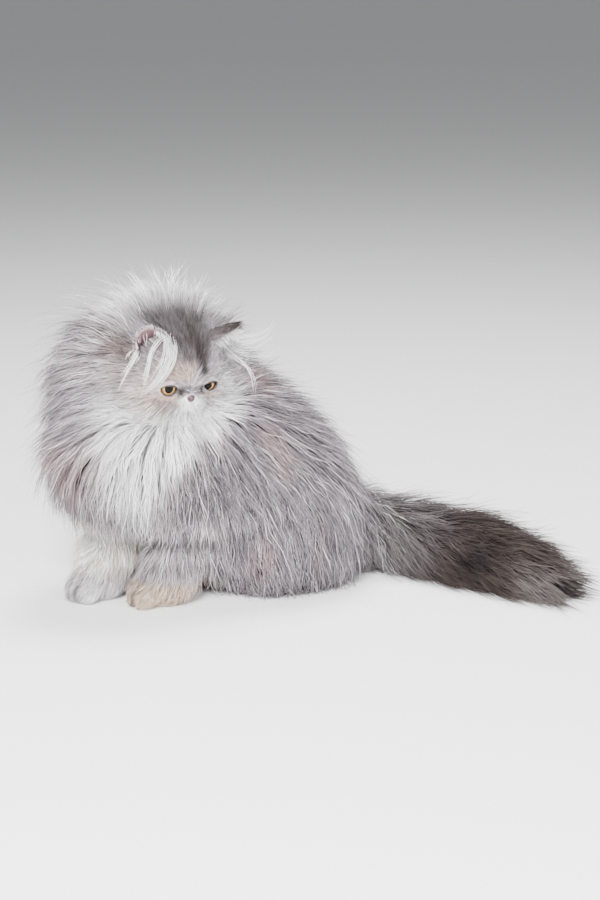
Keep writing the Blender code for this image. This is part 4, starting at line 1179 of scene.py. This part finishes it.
def follow_guides(kind, tufts, guide_roots, guides, ways):
    """The tufts' lines, ways out, shares of the way along the guide, and how thick each is.

    A tuft gathers toward its guide and strays a little, and a stray one stands off it as single long hair.
    """
    count = len(tufts["root"])
    stray = RANDOM.random(count) < STRAY_SHARE
    reach = np.where(stray, tufts["reach"] * 1.16, np.minimum(tufts["reach"], 1.0))
    shares = np.linspace(0, 1, len(kind["profile"]) + 1)[None] * reach[:, None]
    lines = along_line(guides[tufts["guide"]], shares)
    out = along_line(ways[tufts["guide"]], shares)
    gather = np.where(stray[:, None, None], 0.0, tufts["clump"][:, None, None]) * shares[..., None] ** 1.4
    lines = lines + (tufts["root"] - guide_roots[tufts["guide"]])[:, None] * (1 - gather)
    scatter = (tufts["size"] * kind["scatter"])[:, None, None]
    jitter = np.clip(RANDOM.normal(0, 1, (count, 1, 3)), -1.6, 1.6) * scatter
    over_crown = rise((tufts["root"] - HEAD_CENTRE) @ HEAD_UP, 0.020, 0.045)
    puff = np.where(stray, 0.13 + 0.32 * over_crown, 0.0)[:, None, None]
    puff = puff * tufts["size"][:, None, None] * unit(out)
    lines = lines + (jitter + puff) * shares[..., None] ** 1.5
    lines[..., 2] = np.maximum(lines[..., 2], FLOOR_CLEARANCE + 0.0006)
    thickness = np.where(stray, 0.62, 1.0)
    return lines, out, shares, thickness


def add_tufts(word, tufts, guide_roots, guides, ways, finish):
    """Makes the tufts of one kind in pieces under the limit of triangles, split along the picture's width."""
    kind = KINDS[word]
    lines, out, shares, thickness = follow_guides(kind, tufts, guide_roots, guides, ways)
    free = ~in_the_way(lines) & within_bounds(lines)
    lines, out, shares, thickness = lines[free], out[free], shares[free], thickness[free]
    tufts = {item: values[free] for item, values in tufts.items()}
    widths = tufts["width"] * RANDOM.uniform(0.70, 1.30, len(lines)) * thickness
    colours = tuft_colours(kind, tufts["root"], lines, shares, tufts["tone"])
    profile = np.array(kind["profile"])
    triangles = (len(profile) - 1) * 6 + 3
    most = MOST_TRIANGLES // triangles
    order = np.argsort(tufts["root"][:, 0], kind="stable")
    for start in range(0, len(order), most):
        rows = order[start : start + most]
        name = f"coat_{word}_{start // most + 1}"
        parts = lines[rows], unit(out[rows]), widths[rows], profile, RIDGE, colours[rows], tufts["map"][rows]
        add_piece(name, tuft_mesh(name, *parts), finish)
    print(word, len(order), "tufts", len(order) * triangles, "triangles")


def add_coat(skin, uvs):
    """The fur of the body and head: each tuft follows the guide that is nearest to its root."""
    guide_roots, guides, ways = grow_guides(skin, uvs)
    roots, maps = sample_skin(skin, uvs, tuft_density)
    nearest = nearest_rows(roots, guide_roots)
    own = region_weights(roots)
    tufts = {
        "root": roots,
        "map": maps,
        "guide": nearest,
        "clump": mixed(own, "clump"),
        "size": mixed(own, "length"),
        "width": mixed(own, "width"),
        "reach": RANDOM.uniform(0.62, 1.08, len(roots)),
        "tone": RANDOM.normal(0, 1, len(guides))[nearest],
    }
    finish = new_material("coat_fur", 0.65, grain=420.0, grain_depth=0.34, specular=0.22, hairs=True)
    is_short = tufts["size"] < SHORT_LENGTH
    for word, chosen in (("long", ~is_short), ("short", is_short)):
        some = {item: values[chosen] for item, values in tufts.items()}
        add_tufts(word, some, guide_roots, guides, ways, finish)


# Eyes
def eye_colours(points, side, view):
    """A copper iris and a wide pupil, in the shadow of the upper lid. The last row of view is the gaze."""
    offset = points - eye_centre(side)
    along, above, ahead = (offset @ view.T / EYE_RADIUS).T
    angle = np.degrees(np.arctan2(np.hypot(along * 1.14, above), ahead))
    around = np.arctan2(above, along)
    streak = 0.5 + 0.25 * np.sin(around * 47) + 0.15 * np.sin(around * 83 + 1) + 0.1 * np.sin(around * 29)
    gold, copper = GOLD * (0.80 + 0.35 * streak[:, None]), COPPER * (0.75 + 0.35 * streak[:, None])
    colour = blended(gold, copper, rise(angle, 32, 44)[:, None])
    colour = blended(colour, PUPIL, 1 - rise(angle, 27.0, 29.0)[:, None])
    colour = blended(colour, EYE_EDGE, rise(angle, 43, 50)[:, None])
    return colour * (1 - 0.78 * rise(offset @ eye_axes(side)[2], 0.0005, 0.0045))[:, None]


def add_eye(side, word):
    """The wet eyeball, turned to where the cat looks."""
    gaze = unit(GAZE - (0.04 * HEAD_LEFT + 0.06 * HEAD_UP) * side)
    along = unit(np.cross(UPWARD, gaze))
    view = np.stack([along, np.cross(gaze, along), gaze])
    bm = bmesh.new()
    bmesh.ops.create_uvsphere(bm, u_segments=96, v_segments=72, radius=1.0)
    columns = view.T * (EYE_RADIUS - EYE_GAP)
    for vert in bm.verts:
        vert.co = Vector(eye_centre(side) + columns @ np.array(vert.co))
    mesh = mesh_from_bmesh(f"eyeball_{word}", bm)
    paint_mesh(mesh, eye_colours(points_of(mesh), side, view))
    name = f"eye_{word}_wet"
    wet = new_material(name, roughness=0.10, grain=2600.0, grain_depth=0.10, coat=0.04, specular=0.07)
    eye = add_piece(f"eyeball_{word}", mesh, wet)
    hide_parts(f"eye_{word}")


def tube_mesh(name, line, radii, sides=8):
    """A closed tube along a line with a radius at each point."""
    line, radii = np.array(line), np.array(radii)
    run = unit(np.gradient(line, axis=0))
    first = unit(np.cross(run, UPWARD + 0.01))
    second = np.cross(run, first)
    bm = bmesh.new()
    rings = []
    for point, one, two, radius in zip(line, first, second, radii):
        ring = []
        for index in range(sides):
            turn = 2 * math.pi * index / sides
            ring.append(bm.verts.new(Vector(point + radius * (math.cos(turn) * one + math.sin(turn) * two))))
        rings.append(ring)
    for low, high in zip(rings, rings[1:]):
        for index in range(sides):
            after = (index + 1) % sides
            bm.faces.new((low[index], low[after], high[after], high[index]))
    bm.faces.new(rings[0])
    bm.faces.new(rings[-1])
    return mesh_from_bmesh(name, bm)


def add_lid_rim(side, word):
    """The dark wet rim along the edge of the lids."""
    half_width = EYE_OPENING[side][0]
    out, along, above = eye_axes(side)
    turns = np.linspace(0, 2 * math.pi, 65)
    line = []
    for turn in turns:
        across, height = math.cos(turn) * half_width, lid_height(side, math.sin(turn))
        reach = math.sqrt(max((EYE_RADIUS + 0.0006) ** 2 - across**2 - height**2, 1e-8))
        line.append(eye_centre(side) + out * reach + along * across + above * height)
    sizes = 0.0006 + 0.0008 * np.clip(np.sin(turns), 0, 1)
    mesh = tube_mesh(f"lid_rim_{word}", line, sizes)
    paint_mesh(mesh, np.tile(LID_RIM, (len(mesh.vertices), 1)))
    rim = new_material(f"lid_rim_{word}", roughness=0.35, grain=1800.0, grain_depth=0.2, specular=0.5)
    add_piece(f"lid_rim_{word}", mesh, rim)


# Nose

# The pad's half width, half height and half depth
NOSE_PAD = (0.0048, 0.0042, 0.0052)


def skin_front(left, up):
    """The point of the skin straight ahead of a place on the head."""
    ahead = np.linspace(0.020, 0.060, 400)
    points = HEAD_CENTRE + ahead[:, None] * FACING + left * HEAD_LEFT + up * HEAD_UP
    return points[np.argmin(np.abs(distance(points)))]


def nose_dents(left, up):
    """How deep the nostrils and the groove between them are at a place on the pad."""
    nostrils = 0.0
    for side in (-1, 1):
        across = left * side - 0.50
        comma = (across / 0.22) ** 2 + ((up - 0.10 - 0.5 * across) / 0.19) ** 2
        nostrils += 0.0016 * math.exp(-comma)
    return nostrils, 0.0006 * math.exp(-((left / 0.10) ** 2)) * max(0.0, 0.3 - up)


def add_nose():
    """The nose leather: a small pad with two commas for nostrils and a groove down its middle, darkened with
    painted shade where they dent it.
    """
    half_width, half_height, half_depth = NOSE_PAD
    bm = bmesh.new()
    bmesh.ops.create_uvsphere(bm, u_segments=96, v_segments=64, radius=1.0)
    centre = skin_front(0.0, NOSE_HEIGHT) - FACING * 0.0018
    colours = []
    for vert in bm.verts:
        left, up, ahead = vert.co
        width = half_width * (0.80 + 0.20 * np.clip((up + 0.6) / 1.0, 0, 1))
        nostrils, groove = nose_dents(left, up)
        reach = half_depth * ahead - (nostrils + groove) * max(ahead, 0.0)
        vert.co = Vector(centre + HEAD_LEFT * left * width + HEAD_UP * up * half_height + FACING * reach)
        # Painted shade: the pad is darker in the nostrils and the groove.
        colours.append(NOSE_DARK * (1 - 0.92 * min(nostrils / 0.0014, 1.0)) * (1 - 350 * groove))
    mesh = mesh_from_bmesh("nose_leather", bm)
    paint_mesh(mesh, np.array(colours))
    leather = new_material("nose_leather", roughness=0.42, grain=2200.0, grain_depth=0.22, specular=0.5)
    add_piece("nose_leather", mesh, leather)


# Ears

# By side: the base, the way to the tip and the way out of the cup, in the head's frame.
EARS = {
    -1: ((0.0065, -0.0280, 0.0285), (0.22, -0.55, 0.80), (0.95, -0.06, -0.28)),
    1: ((0.0030, 0.0385, 0.0320), (0.25, 0.80, 0.54), (0.66, 0.25, -0.70)),
}


def ear_frame(side):
    """Base, and the directions to the tip, out of the cup, and across it."""
    base, tip, mouth = EARS[side]
    tip, mouth = unit(np.array(tip)) @ HEAD_AXES, np.array(mouth) @ HEAD_AXES
    mouth = unit(mouth - (mouth @ tip) * tip)
    return head_point(*base), tip, mouth, np.cross(tip, mouth)


def in_ear(points, side):
    """How far points are across the ear, toward its tip and out of its cup."""
    base, tip, mouth, across = ear_frame(side)
    return ((points - base) @ np.stack([across, tip, mouth]).T).T


def ear_place(side, around, rise_share):
    """A point of the ear's cup: around runs from edge to edge, and rise_share from the root to the tip."""
    base, tip, mouth, across = ear_frame(side)
    turn = around * EAR_SWEEP
    half = 1.14 * EAR_HALF_WIDTH * np.sqrt(np.maximum(1 - 0.90 * rise_share**3.2, 0.0))
    deep = half * (0.75 - 0.30 * rise_share)
    height = -EAR_SUNK + rise_share * (EAR_HEIGHT + EAR_SUNK)
    terms = (height, tip), (-deep * np.cos(turn), mouth), (half * np.sin(turn), across), (0.35 * deep, mouth)
    return base + sum(np.asarray(size)[..., None] * way for size, way in terms)


def add_ear(side, word):
    """The cup of the ear, thin at its rim, pink inside with painted shade near its root, and furred behind.
    """
    around, up = np.meshgrid(np.linspace(-1, 1, 41), np.linspace(0, 1, 33))
    grid = ear_place(side, around, up)
    bm = bmesh.new()
    verts = [[bm.verts.new(Vector(point)) for point in row] for row in grid]
    for low, high in zip(verts, verts[1:]):
        for index in range(len(low) - 1):
            bm.faces.new((low[index], low[index + 1], high[index + 1], high[index]))
    mesh = mesh_from_bmesh("ear", bm)
    mesh = apply_modifier(mesh, "SOLIDIFY", thickness=EAR_THICKNESS, offset=0.0)
    points = points_of(mesh)
    base, tip, mouth, _ = ear_frame(side)
    normals = np.array([vert.normal[:] for vert in mesh.vertices])
    inside = rise(normals @ mouth + 0.4 * ((points - base) @ mouth) / 0.01, 0.0, 0.5)[:, None]
    # Painted shade: the cup is dark near its root, where it is deepest, and pink higher up.
    hollow = blended(CUP_DEEP_SHADE, CUP_PINK, rise((points - base) @ tip, 0.002, 0.030)[:, None])
    behind = markings(points) * 0.9 if side < 0 else np.tile(SLATE * 1.4, (len(points), 1))
    paint_mesh(mesh, blended(behind, hollow, inside))
    name = f"ear_skin_{word}"
    finish = new_material(name, roughness=0.55, grain=1400.0, grain_depth=0.18, specular=0.4, sheen=0.25)
    ear = add_piece(name, mesh, finish)
    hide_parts(f"ear_{word}")


def hang(start, heading, length, droop, steps, random):
    """Lines that leave start along heading and bend down by droop for each step."""
    points, line = start, [start]
    for _ in range(steps):
        points = points + heading * (length / steps)[:, None]
        line.append(points)
        heading = unit(heading - droop[:, None] * UPWARD + random.normal(0, 0.03, heading.shape))
    return np.stack(line, axis=1)


def strand(side, root, path, count, start_spread, end_spread, random):
    """Hairs that leave the cup at root and follow one path given in the head's frame."""
    first = ear_place(side, np.array(root[0]), np.array(root[1])) + ear_frame(side)[2] * start_spread
    path = np.concatenate([[in_head(first)], np.array(path)])
    corners = np.concatenate([[0], np.cumsum(np.linalg.norm(np.diff(path, axis=0), axis=1))])
    places = np.linspace(0, 1, 8)[None] * random.uniform(0.42, 1.0, (count, 1)) * corners[-1]
    lines = np.stack([np.interp(places, corners, path[:, axis]) for axis in range(3)], axis=2)
    for _ in range(2):
        lines[:, 1:-1] = 0.25 * lines[:, :-2] + 0.5 * lines[:, 1:-1] + 0.25 * lines[:, 2:]
    offset = np.clip(random.normal(0, 1, (count, 1, 3)), -1.8, 1.8)
    share = (places / corners[-1])[..., None]
    root_spread = (0.6 if side > 0 else 1.0) * start_spread
    lines = lines + offset * (root_spread * (1 - share) + 2.2 * end_spread * share)
    phase = random.uniform(0, 6.28, (count, 1, 3))
    lines = lines + 0.0011 * share * np.sin(phase + share * random.uniform(3.0, 7.0, (count, 1, 1)))
    return HEAD_CENTRE + lines @ HEAD_AXES


# Long hair of each ear by side: where it leaves the cup, its path in the head's frame, its count, and how
# far its hairs spread at the root and at the tip.
STRANDS = {
    -1: (
        (
            (0.95, 0.42),
            ((0.028, -0.020, 0.044), (0.037, -0.021, 0.035), (0.042, -0.031, 0.020), (0.043, -0.046, 0.004),
             (0.042, -0.059, -0.007)),
            34, 0.0030, 0.0009,
        ),
        (
            (0.95, 0.62),
            ((0.026, -0.026, 0.044), (0.036, -0.029, 0.033), (0.040, -0.039, 0.017), (0.040, -0.048, 0.005)),
            12, 0.0024, 0.0010,
        ),
        (
            (0.60, 0.50),
            ((0.020, -0.039, 0.039), (0.028, -0.044, 0.027), (0.034, -0.048, 0.013), (0.039, -0.053, 0.001),
             (0.044, -0.060, -0.009)),
            11, 0.0014, 0.0008,
        ),
        (
            (-0.70, 0.45),
            ((0.015, -0.049, 0.032), (0.016, -0.056, 0.022), (0.018, -0.064, 0.012), (0.024, -0.071, 0.002),
             (0.031, -0.078, -0.006)),
            13, 0.0014, 0.0010,
        ),
        ((-0.90, 0.60), ((0.010, -0.051, 0.030), (0.012, -0.058, 0.017)), 14, 0.0018, 0.0018),
    ),
    1: (
        (
            (0.20, 0.50),
            ((0.014, 0.054, 0.026), (0.022, 0.072, 0.026), (0.028, 0.088, 0.038), (0.027, 0.101, 0.057)),
            26, 0.0030, 0.0022,
        ),
        (
            (-0.60, 0.60),
            ((0.014, 0.054, 0.034), (0.022, 0.070, 0.036), (0.027, 0.084, 0.043), (0.027, 0.094, 0.051)),
            24, 0.0026, 0.0022,
        ),
        (
            (0.50, 0.40),
            ((0.015, 0.057, 0.020), (0.025, 0.074, 0.018), (0.035, 0.088, 0.025), (0.037, 0.096, 0.035)),
            26, 0.0030, 0.0018,
        ),
        (
            (0.80, 0.30),
            ((0.017, 0.056, 0.016), (0.025, 0.068, 0.011), (0.031, 0.081, 0.010)),
            30, 0.0030, 0.0024,
        ),
        (
            (0.60, 0.20),
            ((0.021, 0.058, 0.018), (0.037, 0.067, 0.013), (0.052, 0.066, 0.006), (0.063, 0.062, 0.000),
             (0.073, 0.056, -0.008)),
            7, 0.0012, 0.0008,
        ),
    ),
}


def inner_hair(side, random):
    """Fine hair inside the cup, most of it at the edge toward the middle of the head."""
    _, tip, mouth, _ = ear_frame(side)
    count = 190 if side < 0 else 170
    around = np.where(random.random(count) < 0.7, -side, side) * random.uniform(0.55, 0.95, count)
    around = np.where(random.random(count) < 0.18, random.uniform(-0.9, 0.9, count), around)
    up = random.uniform(0.2, 0.9, count)
    heading = unit(0.35 * mouth + 0.3 * tip - 0.60 * UPWARD + 0.6 * max(side, 0) * HEAD_LEFT)
    heading = unit(heading + random.normal(0, 0.20, (count, 3)))
    length = random.uniform(0.004, 0.010, count) * (1.0 if side < 0 else 2.0)
    droop = random.uniform(0.05, 0.3, count)
    return hang(ear_place(side, around, up) + 0.0015 * mouth, heading, length, droop, 4, random)


def rim_hair(side, random):
    """A fringe along the rim of the cup and round its tip."""
    _, tip, mouth, across = ear_frame(side)
    count = 300
    edge = random.choice([-1.0, 1.0], count) * random.uniform(0.90, 1.0, count)
    up = random.uniform(0.1, 1.0, count)
    top = random.random(count) < 0.4
    edge[top], up[top] = random.uniform(-1, 1, top.sum()), random.uniform(0.95, 1.0, top.sum())
    way = 0.80 * tip + (0.22 * edge)[:, None] * across + 0.15 * mouth + random.normal(0, 0.12, (count, 3))
    length = random.uniform(0.004, 0.008, count)
    return hang(ear_place(side, edge, up), unit(way), length, np.zeros(count), 3, random)


def nap_hair(side, random):
    """The short nap on the back of the ear."""
    _, tip, mouth, across = ear_frame(side)
    count = 1500
    around, up = random.uniform(-1, 1, count), random.uniform(0.10, 1.0, count)
    turn = around * EAR_SWEEP
    outward = unit(-np.cos(turn)[:, None] * mouth + np.sin(turn)[:, None] * across)
    way = unit(tip + 0.03 * outward + random.normal(0, 0.07, (count, 3)))
    length = random.uniform(0.003, 0.006, count)
    return hang(ear_place(side, around, up) + outward * 0.0004, way, length, np.zeros(count), 3, random)


def add_ear_hair(side, word):
    """Long white hair out of the cup, fine hair inside it, a fringe along its rim and a short nap behind."""
    random = np.random.default_rng(50 + side)
    _, tip, mouth, _ = ear_frame(side)
    finish = bpy.data.materials["coat_fur"]
    long = np.concatenate([strand(side, *path, random) for path in STRANDS[side]])
    inner, rim, nap = inner_hair(side, random), rim_hair(side, random), nap_hair(side, random)
    shade = SLATE * 1.5 if side > 0 else SILVER * 0.75
    for name, lines, tone, width in (
        ("ear_long", long, WHITE * 1.02, 0.00025),
        ("ear_inner", inner, WHITE * 0.95, 0.00022),
        ("ear_rim", rim, PALE * 1.1, 0.00030),
        ("ear_nap", nap, shade, 0.00038),
    ):
        rings = lines.shape[1] - 1
        profile = 0.45 + 0.55 * np.sin(np.linspace(0.5, 2.7, rings))
        ways = unit(np.tile(mouth + 0.2 * tip, (*lines.shape[:2], 1)))
        colour = tone * random.uniform(0.82, 1.12, (len(lines), 1))
        colours = colour[:, None] * (0.85 + 0.2 * np.linspace(0, 1, rings + 1)[None, :, None])
        colours = np.minimum(colours, 0.94)
        start = lines[:, 0]
        maps = 0.05 + 0.9 * ((start - start.min(axis=0)) / np.ptp(start, axis=0))[:, [0, 2]]
        widths = np.full(len(lines), width)
        mesh = tuft_mesh(f"{name}_{word}", lines, ways, widths, profile, 0.6, colours, maps)
        add_piece(f"{name}_{word}", mesh, finish)


# Whiskers
def whisker_start(side, row, place):
    """Where one whisker leaves the muzzle, and its way."""
    start = head_point(0.0345 - 0.003 * place, side * (0.0125 + 0.0022 * place), -0.0165 - 0.0035 * row)
    return start, side * HEAD_LEFT + 0.45 * FACING + (0.10 - 0.28 * row) * HEAD_UP - 0.15 * UPWARD


def add_whiskers():
    """Long white bristles from the muzzle, in three rows of four on each side."""
    random = np.random.default_rng(7)
    whiskers = []
    for side, row, place in itertools.product((-1, 1), range(3), range(4)):
        start, way = whisker_start(side, row, place)
        way = unit(way + random.normal(0, 0.10, 3))
        whiskers.append((start, way, random.uniform(0.038, 0.062), random.uniform(0.05, 0.11)))
    starts, ways, length, droop = (np.array(values) for values in zip(*whiskers))
    paths = hang(starts, ways, length, droop, 8, random)
    profile = np.linspace(1.0, 0.35, 8)
    colours = np.tile(WHITE * 1.02, (len(paths), 9, 1))
    maps = np.random.default_rng(8).uniform(0.1, 0.9, (len(paths), 2))
    facing = np.tile(UPWARD, (*paths.shape[:2], 1))
    mesh = tuft_mesh("whiskers", paths, facing, np.full(len(paths), 0.00030), profile, 1.6, colours, maps)
    finish = new_material("whisker", roughness=0.35, grain=900.0, grain_depth=0.08, specular=0.5)
    add_piece("whiskers", mesh, finish)


# The studio

# Each lamp: its place, its size and its power.
LAMPS = {
    "key": ((-0.4, -2.0, 1.6), 0.8, 210.0),
    "fill": ((1.3, -1.7, 0.8), 1.4, 60.0),
    "side": ((-1.2, -1.7, 0.4), 1.0, 26.0),
    "top": ((0.1, 0.5, 2.2), 1.2, 90.0),
}
TARGET = Vector(SHIFT) + Vector((0.0, 0.0, 0.14))
FLOOR_RADIUS = 60.0
FLOOR_COLOUR = (0.80, 0.80, 0.80, 1.0)
SKY_COLOUR = (0.93, 0.94, 0.96, 1.0)
CAMERA_DISTANCE = 2.2
CAMERA_TILT = math.radians(14)
SENSOR_WIDTH = 36.0
VIEW_HALF_WIDTH = 0.486


def turn_to_cat(obj, place):
    """Puts a lamp or the camera in its place and turns it to the cat."""
    obj.location = Vector(place)
    obj.rotation_euler = (TARGET - obj.location).to_track_quat("-Z", "Y").to_euler()


def add_floor():
    """A pale floor that reaches the horizon."""
    bm = bmesh.new()
    bmesh.ops.create_circle(bm, cap_ends=True, segments=96, radius=FLOOR_RADIUS)
    floor = placed("floor", mesh_from_bmesh("floor", bm))
    pale = bpy.data.materials.new("floor_pale")
    shader = shader_of(pale)
    shader.inputs["Base Color"].default_value = FLOOR_COLOUR
    shader.inputs["Roughness"].default_value = 0.75
    floor.data.materials.append(pale)


def add_lights():
    """A soft sky and four round lamps."""
    world = bpy.data.worlds.new("studio")
    bpy.context.scene.world = world
    world.use_nodes = True
    sky = world.node_tree.nodes["Background"]
    sky.inputs["Color"].default_value = SKY_COLOUR
    sky.inputs["Strength"].default_value = 0.35
    for name, (place, size, power) in LAMPS.items():
        lamp = bpy.data.lights.new(name, "AREA")
        lamp.shape = "DISK"
        lamp.size = size
        lamp.energy = power
        turn_to_cat(placed(name, lamp), place)


def add_camera():
    """The photo's view, a little from above."""
    camera = bpy.data.cameras.new("camera")
    camera.sensor_width = SENSOR_WIDTH
    camera.lens = SENSOR_WIDTH / 2 / (VIEW_HALF_WIDTH / CAMERA_DISTANCE)
    obj = placed("camera", camera)
    back = Vector((0.0, -math.cos(CAMERA_TILT), math.sin(CAMERA_TILT))) * CAMERA_DISTANCE
    turn_to_cat(obj, TARGET + back)
    bpy.context.scene.camera = obj


def add_skin(skin):
    """Colours the skin and puts it in place of all the flesh."""
    paint_mesh(skin, skin_colours(points_of(skin)))
    hide = new_material("skin", roughness=0.8, grain=700.0, grain_depth=0.35, specular=0.15)
    skin = add_piece("skin", skin, hide)
    flesh = [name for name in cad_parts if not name.startswith(("eye_", "ear_"))]
    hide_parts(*flesh)


def main():
    """Builds the studio and the cat: skin and coat first, then eyes, ears, nose and whiskers."""
    add_floor()
    add_lights()
    add_camera()
    skin = skin_mesh()
    print("skin faces", len(skin.polygons))
    uvs = unwrap(skin)
    add_coat(skin, uvs)
    add_skin(skin)
    for side, word in ((1, "left"), (-1, "right")):
        add_eye(side, word)
        add_lid_rim(side, word)
        add_ear(side, word)
        add_ear_hair(side, word)
    add_nose()
    add_whiskers()


main()
